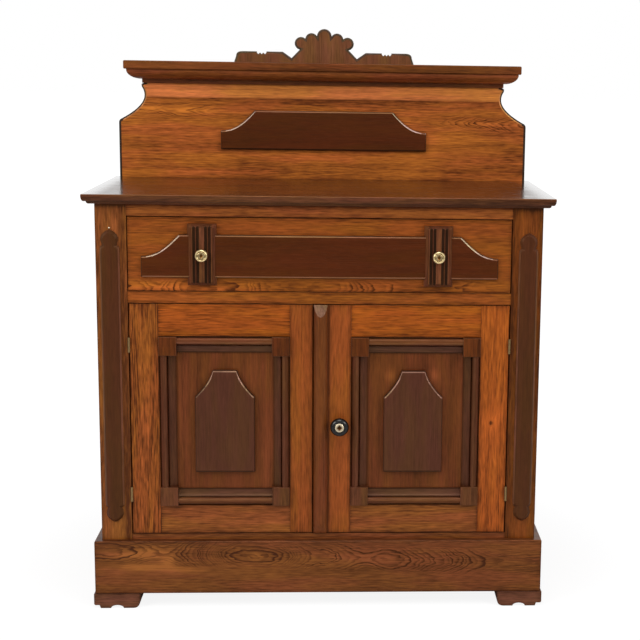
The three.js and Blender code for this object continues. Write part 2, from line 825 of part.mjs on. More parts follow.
function drawerBlock(side) {
  const centre = side * drawerBlockOffset;
  const middle = drawerMiddle;
  const halfWidth = drawerBlockWidth / 2;
  const halfHeight = (drawerTop - drawerBottom) / 2 - drawerBlockEndGap;
  const outline = shapeOf([
    [centre - halfWidth, middle - halfHeight],
    [centre + halfWidth, middle - halfHeight],
    [centre + halfWidth, middle + halfHeight],
    [centre - halfWidth, middle + halfHeight],
  ]);
  const block = edgedPlate(outline, caseFront, drawerBlockThickness, drawerBlockBevel, 1);
  const front = caseFront - drawerBlockThickness;
  const flutes = [-1, 1].flatMap((pair) => [-1, 1].map((one) => uprightCylinder(
    fluteWidth / 2,
    centre + pair * (flutePairSpacing / 2) + one * (flutePairPitch / 2),
    front + fluteDepth - fluteWidth / 2,
    middle - halfHeight - overrun,
    middle + halfHeight + overrun,
    12,
  )));
  const notchBottom = drawerBottom + drawerPlaqueLift - jointClearance;
  const notchTop = drawerBottom + drawerPlaqueLift + drawerPlaqueHeight + jointClearance;
  const notch = board(
    [centre - halfWidth - overrun, caseFront - plaqueThickness - jointClearance, notchBottom],
    [centre + halfWidth + overrun, caseFront + overrun, notchTop],
  );
  return cut(block, ...flutes, notch);
}

function drawerKnob(side) {
  const radius = drawerKnobDiameter / 2;
  const profile = drawerKnobShares.map(([across, along]) => [across * radius, along * drawerKnobLength]);
  return turned(profile, side * drawerBlockOffset, caseFront - drawerBlockThickness, drawerMiddle);
}

// Doors: stiles and rails grooved for a flat panel, hung inside the opening
const doorBottom = doorOpeningBottom + doorEndGap;
const doorTop = doorOpeningTop - doorEndGap;
const doorBack = caseFront + doorThickness;
const doorHingeEdge = openingHalfWidth - doorSideGap;
const panelOpening = {
  outer: doorHingeEdge - doorStileWidth,
  inner: panelInset,
  bottom: doorBottom + doorBottomRailHeight,
  top: doorTop - doorTopRailHeight,
};
const panelCentre = (panelOpening.inner + panelOpening.outer) / 2;
const panelMiddle = (panelOpening.bottom + panelOpening.top) / 2;
const panelFront = caseFront + panelRecess;
const panelBack = panelFront + panelThickness;
const doorKnobHeight = (doorBottom + doorTop) / 2 - doorKnobDrop;

// The moulded bead over the meeting of the doors belongs to the right door, edge to edge with it
function meetingEdge(side) {
  return side > 0 ? astragalWidth / 2 : astragalWidth / 2 + doorMeetingGap;
}

// The groove round the panel opening, cut out of each stile and rail
function panelGroove(side) {
  const { inner, outer } = panelOpening;
  const [left, right] = span(side, inner - panelGrooveDepth, outer + panelGrooveDepth);
  return board(
    [left, panelFront - jointClearance, panelOpening.bottom - panelGrooveDepth],
    [right, panelBack + jointClearance, panelOpening.top + panelGrooveDepth],
  );
}

function doorStile(side, innerX, outerX) {
  const [left, right] = [innerX, outerX].sort((a, b) => a - b);
  return cut(board([left, caseFront, doorBottom], [right, doorBack, doorTop]), panelGroove(side));
}

function hingeStile(side) {
  return doorStile(side, side * panelOpening.outer, side * doorHingeEdge);
}

function meetingStile(side) {
  const edge = -meetingEdge(side);
  return doorStile(side, side * panelOpening.inner, edge);
}

function doorRail(side, bottom, top) {
  const [left, right] = span(side, panelOpening.inner, panelOpening.outer);
  return cut(board([left, caseFront, bottom], [right, doorBack, top]), panelGroove(side));
}

// Latch knob: one turned piece with its spindle through the stile and a tongue behind the door
function latchBore() {
  const geometry = new THREE.CylinderGeometry(
    latchSpindleDiameter / 2 + latchBoreClearance,
    latchSpindleDiameter / 2 + latchBoreClearance,
    doorThickness + 2 * overrun,
    24,
  );
  geometry.translate(doorKnobOffset, (caseFront + doorBack) / 2, doorKnobHeight);
  return geometry;
}

function latchKnob() {
  const radius = doorKnobDiameter / 2;
  const spindle = latchSpindleDiameter / 2;
  const tail = -latchStandoff - latchTongueThickness;
  const face = doorThickness + jointClearance;
  const length = doorKnobLength - jointClearance;
  const profile = [
    [0, tail],
    [spindle, tail],
    [spindle, face],
    ...doorKnobShares.map(([across, along]) => [across * radius, face + along * length]),
  ];
  const knob = turned(profile, doorKnobOffset, doorBack, doorKnobHeight);
  const tongue = board(
    [doorKnobOffset - latchTongueWidth / 2, doorBack + latchStandoff, doorKnobHeight - latchTongueLength],
    [
      doorKnobOffset + latchTongueWidth / 2,
      doorBack + latchStandoff + latchTongueThickness,
      doorKnobHeight + latchTongueWidth / 2,
    ],
  );
  return join(knob, tongue);
}

// Applied frame round a door panel: a sunk edge, a bead and a cove between plain corner blocks
function mouldingSection() {
  const beadEnd = mouldingSunkWidth + mouldingBeadWidth;
  const coveStart = beadEnd + mouldingQuirkWidth;
  const coveEnd = mouldingWidth - mouldingListWidth;
  const beadCentre = [mouldingSunkWidth + mouldingBeadWidth / 2, mouldingBeadSpring];
  const beadRadii = [mouldingBeadWidth / 2, mouldingBeadHeight - mouldingBeadSpring];
  return [
    [0, 0],
    [0, mouldingSunkHeight],
    [mouldingSunkWidth, mouldingSunkHeight],
    ...arcPoints(beadCentre, beadRadii, Math.PI, 0, 8),
    [beadEnd, mouldingQuirkHeight],
    [coveStart, mouldingQuirkHeight],
    ...arcPoints(
      [coveEnd, mouldingCoveHeight],
      [coveEnd - coveStart, mouldingCoveHeight - mouldingListHeight],
      Math.PI,
      1.5 * Math.PI,
      6,
    ),
    [mouldingWidth, mouldingListHeight],
    [mouldingWidth, 0],
  ];
}

function panelMoulding(side) {
  const [left, right] = span(side, panelOpening.inner + jointClearance, panelOpening.outer - jointClearance);
  const [bottom, top] = [panelOpening.bottom + jointClearance, panelOpening.top - jointClearance];
  const section = mouldingSection();
  const [runLeft, runRight] = [left + mouldingWidth / 2, right - mouldingWidth / 2];
  const [runBottom, runTop] = [bottom + mouldingWidth / 2, top - mouldingWidth / 2];
  const upright = (edge, inwards) => extrudeZ(
    shapeOf(section.map(([across, height]) => [edge + inwards * across, panelFront - height])),
    runBottom,
    runTop,
  );
  const level = (edge, inwards) => extrudeX(
    shapeOf(section.map(([across, height]) => [panelFront - height, edge + inwards * across])),
    runLeft,
    runRight,
  );
  const block = (x, z) => edgedPlate(shapeOf([
    [x, z],
    [x + cornerBlockWidth, z],
    [x + cornerBlockWidth, z + cornerBlockHeight],
    [x, z + cornerBlockHeight],
  ]), panelFront, cornerBlockThickness, cornerBlockEdge);
  return join(
    upright(left, 1),
    upright(right, -1),
    level(bottom, 1),
    level(top, -1),
    block(left, bottom),
    block(left, top - cornerBlockHeight),
    block(right - cornerBlockWidth, bottom),
    block(right - cornerBlockWidth, top - cornerBlockHeight),
  );
}

// Shield: a plate with a short level top and hollow shoulders
function shield(side) {
  const centre = side * panelCentre - (side > 0 ? rightShieldShift : 0);
  const halfWidth = ((panelOpening.outer - panelOpening.inner) * shieldWidthShare) / 2;
  const halfTop = halfWidth * shieldTopShare;
  const height = (panelOpening.top - panelOpening.bottom) * shieldHeightShare;
  const drop = height * shieldShoulderShare;
  const [bottom, top] = [panelMiddle - height / 2, panelMiddle + height / 2];
  const shoulder = [halfWidth, top - drop];
  const hollow = [
    halfTop + (halfWidth - halfTop) * shieldHollowAcrossShare,
    top - drop * shieldHollowDownShare,
  ];
  const half = [[halfWidth, bottom], ...curvePoints(quadratic(shoulder, hollow, [halfTop, top]), 8)];
  return edgedPlate(symmetricShape(half, centre), panelFront, shieldThickness, shieldEdge);
}

function doorPanel(side) {
  const lap = panelGrooveDepth - jointClearance;
  const [left, right] = span(side, panelOpening.inner - lap, panelOpening.outer + lap);
  return board(
    [left, panelFront, panelOpening.bottom - lap],
    [right, panelBack, panelOpening.top + lap],
  );
}

// Astragal: a half-round bead down the edge of the right door, its two ends cut back on a slope
function astragal() {
  const radius = astragalWidth / 2;
  const section = arcPoints([0, caseFront], [radius, astragalThickness], 2 * Math.PI, Math.PI, 14);
  const bead = extrudeZ(shapeOf(section), doorBottom, doorTop);
  const sliceFace = caseFront - astragalTipThickness;
  const farFace = caseFront - astragalThickness - overrun;
  const slope = (farFace - sliceFace) * (astragalBevelLength / (astragalTipThickness - astragalThickness));
  const slice = (end, inwards) => extrudeX(shapeOf([
    [sliceFace, end],
    [farFace, end + inwards * slope],
    [farFace, end - inwards * overrun],
    [sliceFace, end - inwards * overrun],
  ]), -radius - overrun, radius + overrun);
  return cut(bead, slice(doorBottom, 1), slice(doorTop, -1));
}

// Butt hinge: a fixed leaf with the pin and the end knuckles, and a door leaf with the middle one
function hingeLeaves(side, low) {
  const axisX = side * (openingHalfWidth - doorSideGap / 2);
  const axisY = caseFront - hingeBarrelDiameter / 2;
  const high = low + hingeHeight;
  const knuckle = (hingeHeight - (hingeKnuckleCount - 1) * jointClearance) / hingeKnuckleCount;
  const pitch = knuckle + jointClearance;
  const barrelRadius = hingeBarrelDiameter / 2;
  const sleeve = (index, growth) => uprightCylinder(
    barrelRadius + growth,
    axisX,
    axisY,
    low + index * pitch - growth,
    low + index * pitch + knuckle + growth,
  );
  const barrel = (index) => sleeve(index, 0);
  const room = (index) => sleeve(index, jointClearance);
  const plate = (edge) => {
    const [left, right] = [side * edge, side * (edge + hingeLeafThickness)].sort((a, b) => a - b);
    return board([left, axisY, low], [right, caseFront + hingeLeafDepth, high]);
  };
  const pin = uprightCylinder(hingePinDiameter / 2, axisX, axisY, low, high);
  const bore = uprightCylinder(
    hingePinDiameter / 2 + hingePinClearance,
    axisX,
    axisY,
    low - overrun,
    high + overrun,
  );
  const fixedPlate = cut(plate(openingHalfWidth - hingeLeafThickness), room(1));
  const doorPlate = cut(plate(doorHingeEdge), room(0), room(2));
  return {
    fixed: join(fixedPlate, barrel(0), barrel(2), pin),
    moving: cut(join(doorPlate, barrel(1)), bore),
  };
}

add('countertop', countertop(), walnut);
add('splash_board', splashBoard(), chestnut);
add('splash_plaque', plaque(
  splashPlaqueWidth,
  splashPlaqueFlatWidth,
  splashPlaqueHeight,
  splashPlaqueEndHeight,
  counterTop + splashPlaqueLift,
  splashFront,
  splashOgeeShare,
), walnut);
add('crown_moulding', crownMoulding(), walnut);
add('crown_shelf', crownShelf(), walnut);
add('crest', crest(), walnut);
add('top_rail', rail(drawerOpeningTop, counterBottom, topRailDepth), chestnut);
add('middle_rail', rail(doorOpeningTop, drawerOpeningBottom, faceFrameThickness), chestnut);
add('bottom_rail', rail(plinthRailBottom, doorOpeningBottom, faceFrameThickness), chestnut);
add('cupboard_floor', cupboardFloor(), paleWood);
add('back_panel', backPanel(), paleWood);
add('plinth', plinth(), chestnut);
for (const [side, name] of sides) {
  add(`front_post_${name}`, frontPost(side), chestnut);
  add(`post_strip_${name}`, postStrip(side), walnut);
  add(`side_frame_${name}`, sideFrame(side), chestnut);
  add(`side_panel_${name}`, sidePanel(side), chestnut);
  add(`drawer_runner_${name}`, drawerRunner(side), paleWood);
  add(`foot_front_${name}`, foot(side, caseFront - plinthThickness - footProud), walnut);
  add(`foot_rear_${name}`, foot(side, caseBack - footWidth), walnut);
}

add('drawer_front', drawerFront(), chestnut);
add('drawer_back', drawerBack(), paleWood);
add('drawer_bottom', drawerBottomBoard(), paleWood);
const drawerPlaqueWidth = 2 * (openingHalfWidth - drawerPlaqueEndGap);
add('drawer_plaque', plaque(
  drawerPlaqueWidth,
  drawerPlaqueWidth - 2 * drawerPlaqueSweep,
  drawerPlaqueHeight,
  drawerPlaqueEndHeight,
  drawerBottom + drawerPlaqueLift,
  caseFront,
  drawerOgeeShare,
), walnut);
for (const [side, name] of sides) {
  add(`drawer_side_${name}`, drawerSide(side), paleWood);
  add(`drawer_block_${name}`, drawerBlock(side), walnut);
  add(`drawer_knob_${name}`, drawerKnob(side), brass);
}

const hingeLevels = [
  ['lower', doorBottom + hingeInset],
  ['upper', doorTop - hingeInset - hingeHeight],
];
for (const [side, name] of sides) {
  const stile = meetingStile(side);
  add(`${name}_door_hinge_stile`, hingeStile(side), chestnut);
  add(`${name}_door_meeting_stile`, side > 0 ? cut(stile, latchBore()) : stile, chestnut);
  add(`${name}_door_top_rail`, doorRail(side, panelOpening.top, doorTop), chestnut);
  add(`${name}_door_bottom_rail`, doorRail(side, doorBottom, panelOpening.bottom), chestnut);
  add(`${name}_door_panel`, doorPanel(side), chestnut);
  add(`${name}_door_moulding`, panelMoulding(side), walnut);
  add(`${name}_door_shield`, shield(side), walnut);
  for (const [level, low] of hingeLevels) {
    const leaves = hingeLeaves(side, low);
    add(`${name}_${level}_hinge_fixed_leaf`, leaves.fixed, brass);
    add(`${name}_${level}_hinge_door_leaf`, leaves.moving, brass);
  }
}
add('astragal', astragal(), walnut);
add('latch_knob', latchKnob(), brass);

export default cabinet;
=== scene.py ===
import json
import math
import bmesh
import bpy
from mathutils import Matrix, Vector

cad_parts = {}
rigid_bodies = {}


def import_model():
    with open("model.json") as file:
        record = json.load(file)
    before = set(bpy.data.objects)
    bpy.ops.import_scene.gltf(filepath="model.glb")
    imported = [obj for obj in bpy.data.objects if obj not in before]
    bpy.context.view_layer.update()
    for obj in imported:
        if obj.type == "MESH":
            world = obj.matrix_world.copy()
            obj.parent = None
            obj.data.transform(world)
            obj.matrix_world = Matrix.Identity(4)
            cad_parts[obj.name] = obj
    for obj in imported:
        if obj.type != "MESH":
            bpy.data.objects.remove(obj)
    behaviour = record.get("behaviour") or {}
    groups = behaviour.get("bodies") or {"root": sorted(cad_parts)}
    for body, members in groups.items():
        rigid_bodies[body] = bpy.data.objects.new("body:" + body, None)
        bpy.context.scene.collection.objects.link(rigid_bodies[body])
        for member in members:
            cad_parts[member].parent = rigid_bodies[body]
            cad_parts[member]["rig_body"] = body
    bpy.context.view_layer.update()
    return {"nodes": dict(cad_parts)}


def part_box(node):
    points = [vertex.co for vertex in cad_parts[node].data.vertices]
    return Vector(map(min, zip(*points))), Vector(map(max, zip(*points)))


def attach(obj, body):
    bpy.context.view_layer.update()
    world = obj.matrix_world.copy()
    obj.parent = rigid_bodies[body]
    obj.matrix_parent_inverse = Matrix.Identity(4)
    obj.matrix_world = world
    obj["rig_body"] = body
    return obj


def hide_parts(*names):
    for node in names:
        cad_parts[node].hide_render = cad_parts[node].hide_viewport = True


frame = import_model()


# Plinth: three chestnut boards with a lively, flat-sawn figure, mitred at the front corners and
# glued round the foot of the case. The upper arris is taken off and the varnish has gone dark.
class Wire:
    """A shader socket that ordinary arithmetic works on, each sign adding one Math node."""

    def __init__(self, socket):
        self.socket = socket

    def feed(self, socket):
        """Link this value to a socket."""
        self.socket.id_data.links.new(self.socket, socket)

    def node(self, kind, settings, inputs, output=0):
        """One output of a new node, made from its settings and the values or links of its sockets."""
        made = self.socket.id_data.nodes.new(kind)
        for name, value in settings.items():
            setattr(made, name, value)
        for name, value in inputs.items():
            if isinstance(value, Wire):
                value.feed(made.inputs[name])
            else:
                made.inputs[name].default_value = value
        return Wire(made.outputs[output])

    def out(self, output):
        """Another output of the same node."""
        return Wire(self.socket.node.outputs[output])

    def math(self, operation, *values):
        return self.node("ShaderNodeMath", {"operation": operation}, dict(enumerate(values)))

    def rise(self, low, high):
        """0 below low, 1 above high, and an even S between them."""
        inputs = {"Value": self, "From Min": low, "From Max": high}
        return self.node("ShaderNodeMapRange", {"interpolation_type": "SMOOTHSTEP"}, inputs)

    def mix(self, none, full, clamp=True):
        """One colour where this value is 0 and another where it is 1."""
        settings = {"data_type": "RGBA", "clamp_factor": clamp}
        return self.node("ShaderNodeMix", settings, {0: self, 6: none, 7: full}, output=2)

    def __add__(self, other):
        return self.math("ADD", self, other)

    def __sub__(self, other):
        return self.math("SUBTRACT", self, other)

    def __mul__(self, other):
        return self.math("MULTIPLY", self, other)

    def __truediv__(self, other):
        return self.math("DIVIDE", self, other)

    def __pow__(self, other):
        return self.math("POWER", self, other)

    def __rsub__(self, other):
        return self.math("SUBTRACT", other, self)

    __radd__ = __add__
    __rmul__ = __mul__


def paint(red, green, blue):
    """A colour as it looks on a screen, 0 to 255, turned into the amounts of light that make it."""
    shares = [level / 255 for level in (red, green, blue)]
    linear = [share / 12.92 if share <= 0.04045 else ((share + 0.055) / 1.055) ** 2.4 for share in shares]
    return (*linear, 1.0)


def new_finish(name):
    """A material with its shader, and the place on the piece that its patterns start from."""
    material = bpy.data.materials.new(name)
    material.use_nodes = True
    nodes = material.node_tree.nodes
    return material, nodes["Principled BSDF"], Wire(nodes.new("ShaderNodeTexCoord").outputs["Object"])


# Each layer of noise in the wood: repeats per metre along and across the grain, detail, and shift
grain = {
    "sway": (3.5, 6.0, 1.0, 3.1), "tremor": (16.0, 40.0, 2.0, 13.1), "swirl": (5.0, 0.0, 1.0, 7.7),
    "ripple": (22.0, 240.0, 1.0, 5.0), "dapple": (7.0, 26.0, 1.0, 55.0), "bend": (14.0, 34.0, 2.0, 17.0),
    "jag": (55.0, 160.0, 1.0, 23.0), "fibre": (24.0, 620.0, 2.0, 0.0), "fleck": (45.0, 330.0, 2.0, 27.0),
    "streak": (5.0, 130.0, 2.0, 21.0), "band": (1.6, 46.0, 2.0, 37.0), "cloud": (7.0, 24.0, 2.0, 9.0),
    "pore": (70.0, 1500.0, 1.0, 33.0), "blush": (6.0, 34.0, 2.0, 47.0),
}


def timber(name, run, face, pith, stain, ring=0.004, rings=0.5, tilt=0.0, lean=0.0, wave=0.004,
           swirl=0.0, fibres=1.0, clouds=1.0, blush=1.0, rough=0.34, seed=0.0, edges=None, flares=(),
           knot=None, figure=None):
    """Sawn, stained and varnished wood: growth rings round a pith that lies along the run of the grain.

    The pith is given as its place along the grain, across the face and in depth. A far-off pith
    gives straight grain and a near one, lying at a slant, gives the nested arches of a flat-sawn board:
    tilt is its slant in depth and lean its slant across. A ring is the width of a year, and wave and
    swirl are how far it wanders. Rings, fibres, clouds and blush are the strength of the late wood, of
    the fine streaks and flecks, of the broad bands, and of the drift between amber and russet.
    A figure gives how far from the pith it shows, how dark it is, and the stretches of the board over
    which the pith comes nearer or goes away: there the rings close into arches, eyes and ripples.
    Each flare is a bright patch, or a dark one if its amount is below 0: its place along and across,
    its reach along and across, and its amount. A knot is its place along and across, and its size.
    The wood is darker near the edges: the ends of the board along the grain, then across it.
    """
    material, shader, place = new_finish(name)
    split = place.node("ShaderNodeSeparateXYZ", {}, {0: place})
    axes = {"X": split, "Y": split.out(1), "Z": split.out(2)}
    along = axes.pop(run)
    across = axes.pop(face)
    deep = axes.popitem()[1]

    def layer(kind):
        """One layer of the grain, from -0.5 to 0.5, which each seed starts at another place."""
        run_scale, cross_scale, detail, shift = grain[kind]
        spot = place.node("ShaderNodeCombineXYZ", {}, {
            0: along * run_scale + (seed * 3.7 + shift), 1: across * cross_scale, 2: deep * cross_scale})
        return place.node("ShaderNodeTexNoise", {}, {"Vector": spot, "Scale": 1.0, "Detail": detail}) - 0.5

    pith_along, pith_across, pith_deep = pith
    sway = layer("sway") * (2 * wave) + layer("tremor") * (0.5 * wave)
    height = deep - pith_deep + (along - pith_along) * tilt + layer("swirl") * (2 * swirl)
    side = across - pith_across + (along - pith_along) * lean + sway
    radius = (side * side + height * height) ** 0.5
    if knot:
        knot_along, knot_across, knot_size = knot
        longer, push = 0.6, 1.6
        from_knot = ((along - knot_along) ** 2.0 * longer + (across - knot_across) ** 2.0) ** 0.5
        radius = radius + place.math("EXPONENT", from_knot * (-1 / knot_size)) * (push * knot_size)
    ripple = layer("ripple") * 0.35

    def growth(radius):
        """The age of the year in each ring, and how dark its late wood is."""
        uneven = place.node("ShaderNodeTexNoise", {"noise_dimensions": "1D"}, {
            "W": radius * (0.22 / ring) + seed, "Scale": 1.0, "Detail": 1.0})
        count = radius / ring + uneven * 3.0 + ripple
        year = place.math("FRACT", count)
        late = year.rise(0.3, 0.88) * (1.0 - year.rise(0.93, 1.0))
        which = {"W": place.math("FLOOR", count)}
        strength = place.node("ShaderNodeTexWhiteNoise", {"noise_dimensions": "1D"}, which)
        return year, late * (strength * strength * 0.75 + 0.25)

    year, late = growth(radius)
    late = late * (layer("dapple").rise(-0.16, 0.12) * 0.7 + 0.3)
    tone = late * rings
    if figure:
        reach, strength, stretches = figure
        radius = radius + layer("bend") * 0.014 + layer("jag") * 0.004
        for start, end, change in stretches:
            radius = radius + along.rise(start, end) * change
        figured = place.math("EXPONENT", (side / reach) ** 4.0 * -1.0)
        arches = growth(radius)[1] * figured
        late = late * (1.0 - figured) + arches
        tone = tone * (1.0 - figured) + arches * strength
    fibre, cloud = layer("fibre"), layer("cloud")
    pore = (layer("pore") - 0.1).rise(0.0, 0.1) * (1.0 - year.rise(0.1, 0.55))
    fine = fibre * 1.1 + layer("fleck") * 1.25 + layer("streak") * 0.5 + pore * 0.3
    broad = layer("band") * 0.9 + cloud * 0.7
    depth = 0.36 + tone + fine * fibres + broad * clouds
    for at_run, at_across, run_reach, across_reach, amount in flares:
        offset = ((along - at_run) / run_reach) ** 2.0 + ((across - at_across) / across_reach) ** 2.0
        depth = depth - place.math("EXPONENT", offset * -1.0) * (1.0 - late) * amount
    if edges:
        near_end = place.math("MINIMUM", along - edges[0], edges[1] - along)
        near_side = place.math("MINIMUM", across - edges[2], edges[3] - across)
        inward = place.math("MAXIMUM", place.math("MINIMUM", near_end, near_side), 0.0)
        depth = depth + place.math("EXPONENT", inward * -260.0) * 0.45
    if knot:
        heart = 1.0 - from_knot.rise(knot_size * 0.2, knot_size * 0.45)
        halo = from_knot.rise(knot_size * 0.4, knot_size * 0.7)
        halo = halo * (1.0 - from_knot.rise(knot_size * 0.8, knot_size * 2.2))
        depth = depth + heart * 0.9 - halo * 0.3

    def shade(gains):
        return (*(share * gain for share, gain in zip(paint(*stain), gains)), 1.0)

    early_gains, towards_amber, late_gains = (1.47, 1.465, 1.4), (-0.05, 0.085, -0.2), (0.4, 0.34, 0.34)
    amber = shade([gain + swing * blush for gain, swing in zip(early_gains, towards_amber)])
    russet = shade([gain - swing * blush for gain, swing in zip(early_gains, towards_amber)])
    early = layer("blush").rise(-0.14, 0.14).mix(amber, russet)
    depth = place.math("MINIMUM", place.math("MAXIMUM", depth, -0.6), 1.1)
    depth.mix(early, shade(late_gains), clamp=False).feed(shader.inputs["Base Color"])
    (cloud * 0.2 + pore * 0.15 + fibre * 0.1 + rough).feed(shader.inputs["Roughness"])
    relief = late * 0.5 - pore - fibre * 0.6
    bump = place.node("ShaderNodeBump", {}, {"Strength": 0.3, "Distance": 0.0002, "Height": relief})
    bump.feed(shader.inputs["Normal"])
    shader.inputs["Specular IOR Level"].default_value = 0.25
    shader.inputs["Specular Tint"].default_value = (1.0, 0.62, 0.38, 1.0)
    return material


def soften(form, edges, width, steps, clamp=False):
    """Bevel some edges of a shape, as sandpaper does."""
    bmesh.ops.bevel(form, geom=edges, offset=width, offset_type="OFFSET", segments=steps, profile=0.5,
                    affect="EDGES", clamp_overlap=clamp, material=-1)


def settle(name, form, materials, body, crease=None):
    """Make a finished shape a piece that rides on a body, its faces smooth but for creases."""
    mesh = bpy.data.meshes.new(name)
    for part in form.faces:
        part.smooth = crease is not None
    form.to_mesh(mesh)
    form.free()
    if crease is not None:
        mesh.set_sharp_from_angle(angle=math.radians(crease))
    for material in materials:
        mesh.materials.append(material)
    piece = bpy.data.objects.new(name, mesh)
    bpy.context.scene.collection.objects.link(piece)
    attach(piece, body)
    return piece


def dress(name, materials, arris=0.0007, steps=2, cuts=(), pick=None, broad=(0, 0, None)):
    """A copy of a solid with its arrises softened, its curves smooth and its wood on it.

    The arris is the bevel's width on every sharp edge. Broad gives a wider one, its steps, and which
    edges get it, by their middles. Cuts are planes, point and normal, that part the faces, and pick
    gives the number of a face's material, from its centre and its normal.
    """
    solid = frame["nodes"][name]
    form = bmesh.new()
    form.from_mesh(solid.data)
    weld, flat, corner = 2e-6, math.radians(0.3), math.radians(30)
    bmesh.ops.remove_doubles(form, verts=form.verts, dist=weld)
    bmesh.ops.dissolve_limit(form, angle_limit=flat, verts=form.verts, edges=form.edges)
    for width, count, chosen in (broad, (arris, steps, None)):
        sharp = [edge for edge in form.edges
                 if edge.is_manifold and edge.calc_face_angle(0) > corner
                 and (chosen is None or chosen((edge.verts[0].co + edge.verts[1].co) / 2))]
        if width and sharp:
            soften(form, sharp, width, count, clamp=chosen is None)
    for point, normal in cuts:
        bmesh.ops.bisect_plane(form, geom=form.verts[:] + form.edges[:] + form.faces[:], dist=1e-6,
                               plane_co=point, plane_no=normal)
    if pick:
        for part in form.faces:
            part.material_index = pick(part.calc_center_median(), part.normal)
    piece = settle(name + "_dressed", form, materials, solid["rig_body"], crease=32)
    piece.modifiers.new("true_faces", "WEIGHTED_NORMAL").keep_sharp = True
    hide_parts(name)


low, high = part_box("plinth")
board, no_edge = 0.012, 0.1
plinth_stain = (108, 60, 29)
plinth_figure = (0.024, 1.0, (
    (-0.4, -0.29, 0.014), (-0.3, -0.14, -0.065), (-0.105, 0.0, 0.034),
    (0.0, 0.09, 0.02), (0.09, 0.13, -0.006), (0.12, 0.37, 0.065)))
plinth_flares = (
    (-0.357, 0.104, 0.045, 0.0065, 1.4), (-0.321, 0.108, 0.022, 0.011, 1.3),
    (-0.287, 0.094, 0.014, 0.016, 1.4), (-0.336, 0.08, 0.045, 0.0065, 1.5),
    (-0.262, 0.076, 0.035, 0.005, 1.0), (-0.123, 0.102, 0.016, 0.007, 0.8), (0.1, 0.1, 0.25, 0.012, 0.2))
plinth_wood = [
    timber("plinth_front", "X", "Z", (0.0, 0.0995, -0.182), plinth_stain, ring=0.0038, rings=0.35,
           swirl=0.002, wave=0.005, lean=0.03, seed=1.0, edges=(low.x, high.x, low.z, high.z),
           figure=plinth_figure, flares=plinth_flares),
    timber("plinth_side", "Y", "Z", (0.0, 0.08, 0.5), plinth_stain, ring=0.0045, swirl=0.02, seed=4.0,
           edges=(low.y - no_edge, high.y, low.z, high.z)),
]
dress("plinth", plinth_wood, arris=0.0006,
      pick=lambda centre, normal: int(abs(normal.x) > 0.5 or abs(centre.x) > high.x - board))


# Feet: walnut blocks with a slight arch between two low pads, one under each corner of the plinth,
# glued and nailed from below. Their edges are rubbed by years of sweeping.
pad_height = 0.0064
# The pads are painted dark with the shade under the feet.
foot_pad_shade = timber("foot_pad_shade", "X", "Z", (0.0, -0.08, 0.0), (62, 50, 38), rings=0.2, seed=3.0, rough=0.5)
for side, seed in (("left", 1.0), ("right", 2.0)):
    for row in ("front", "rear"):
        low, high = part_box(f"foot_{row}_{side}")
        foot_wood = timber(f"foot_wood_{row}_{side}", "X", "Z", (0.0, -0.08, low.y), (93, 57, 39),
                           rings=0.3, seed=seed, rough=0.45, edges=(low.x, high.x, low.z, high.z))
        dress(f"foot_{row}_{side}", [foot_wood, foot_pad_shade],
              pick=lambda centre, normal: int(centre.z < pad_height))


# Case: two front posts, a rail over the drawer, one under it and one at the foot, all chestnut and
# flush, tenoned together, with the grain along each stick. The doors and the drawer lie in between.
everywhere = 9.0
for side, sign, stain, strip_shadow in (("left", -1, (132, 76, 34), 0.75), ("right", 1, (110, 58, 18), 0.5)):
    low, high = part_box(f"front_post_{side}")
    # Painted shadows: one beside the post's strip, and one of the overhanging top along its head.
    shadow_beside_strip = (0.42, sign * 0.363, 0.36, 0.007, -strip_shadow)
    shadow_under_top = (high.z + 0.001, 0.0, 0.0065, everywhere, -0.9)
    post_wood = timber(f"post_wood_{side}", "Z", "X", (0.4, sign * 0.5, -0.15), stain, rings=0.35,
                       seed=5.0 + sign, edges=(low.z, high.z, low.x, high.x),
                       flares=(shadow_beside_strip, shadow_under_top))
    dress(f"front_post_{side}", [post_wood], arris=0.0009)
# The top rail carries the same painted shadow of the overhanging top.
rail_shadow = ((0.0, 0.7715, everywhere, 0.0065, -0.9),)
for name, seed, stain, flares in (("top_rail", 11.0, (151, 82, 39), rail_shadow),
                                  ("middle_rail", 12.0, (139, 75, 26), ()),
                                  ("bottom_rail", 13.0, (120, 66, 33), ())):
    low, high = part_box(name)
    rail_wood = timber(name + "_wood", "X", "Z", (0.1, low.z - 0.09, -0.16), stain, rings=0.3, clouds=0.7,
                       seed=seed, edges=(low.x, high.x, low.z, high.z), flares=flares)
    dress(name, [rail_wood], arris=0.0004)


# Post strips: bevelled walnut bars with a lancet tip at both ends, planted on the posts. The bevels
# between the tips carry a painted highlight, and one old pin head shows over the tip of the left one.
strip_bevel, strip_tip = 0.0026, 0.032
# A painted highlight for the side bevels of the strips.
strip_bevel_highlight = timber("strip_bevel", "Z", "X", (0.0, 0.0, 0.3), (102, 64, 43), rings=0.2, seed=24.0)
for side, sign in (("left", -1), ("right", 1)):
    strip_wood = timber(f"strip_wood_{side}", "Z", "X", (0.4, sign * 0.5, -0.15), (68, 36, 17),
                        rings=0.25, fibres=0.5, clouds=0.7, seed=20.0 + sign)
    low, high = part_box(f"post_strip_{side}")
    middle = (low.x + high.x) / 2
    rim = (high.x - low.x) / 2 - strip_bevel

    def highlit_sides(centre, normal, low=low, high=high, middle=middle, rim=rim):
        """1, the painted highlight, on the bevels between the tips, and 0 elsewhere."""
        if abs(normal.x) < 0.3 or normal.y > -0.3 or abs(centre.x - middle) < rim:
            return 0
        return int(low.z + strip_tip < centre.z < high.z - strip_tip)

    dress(f"post_strip_{side}", [strip_wood, strip_bevel_highlight], arris=0.0003, pick=highlit_sides,
          cuts=[((middle - rim, 0, 0), (1, 0, 0)), ((middle + rim, 0, 0), (1, 0, 0))])


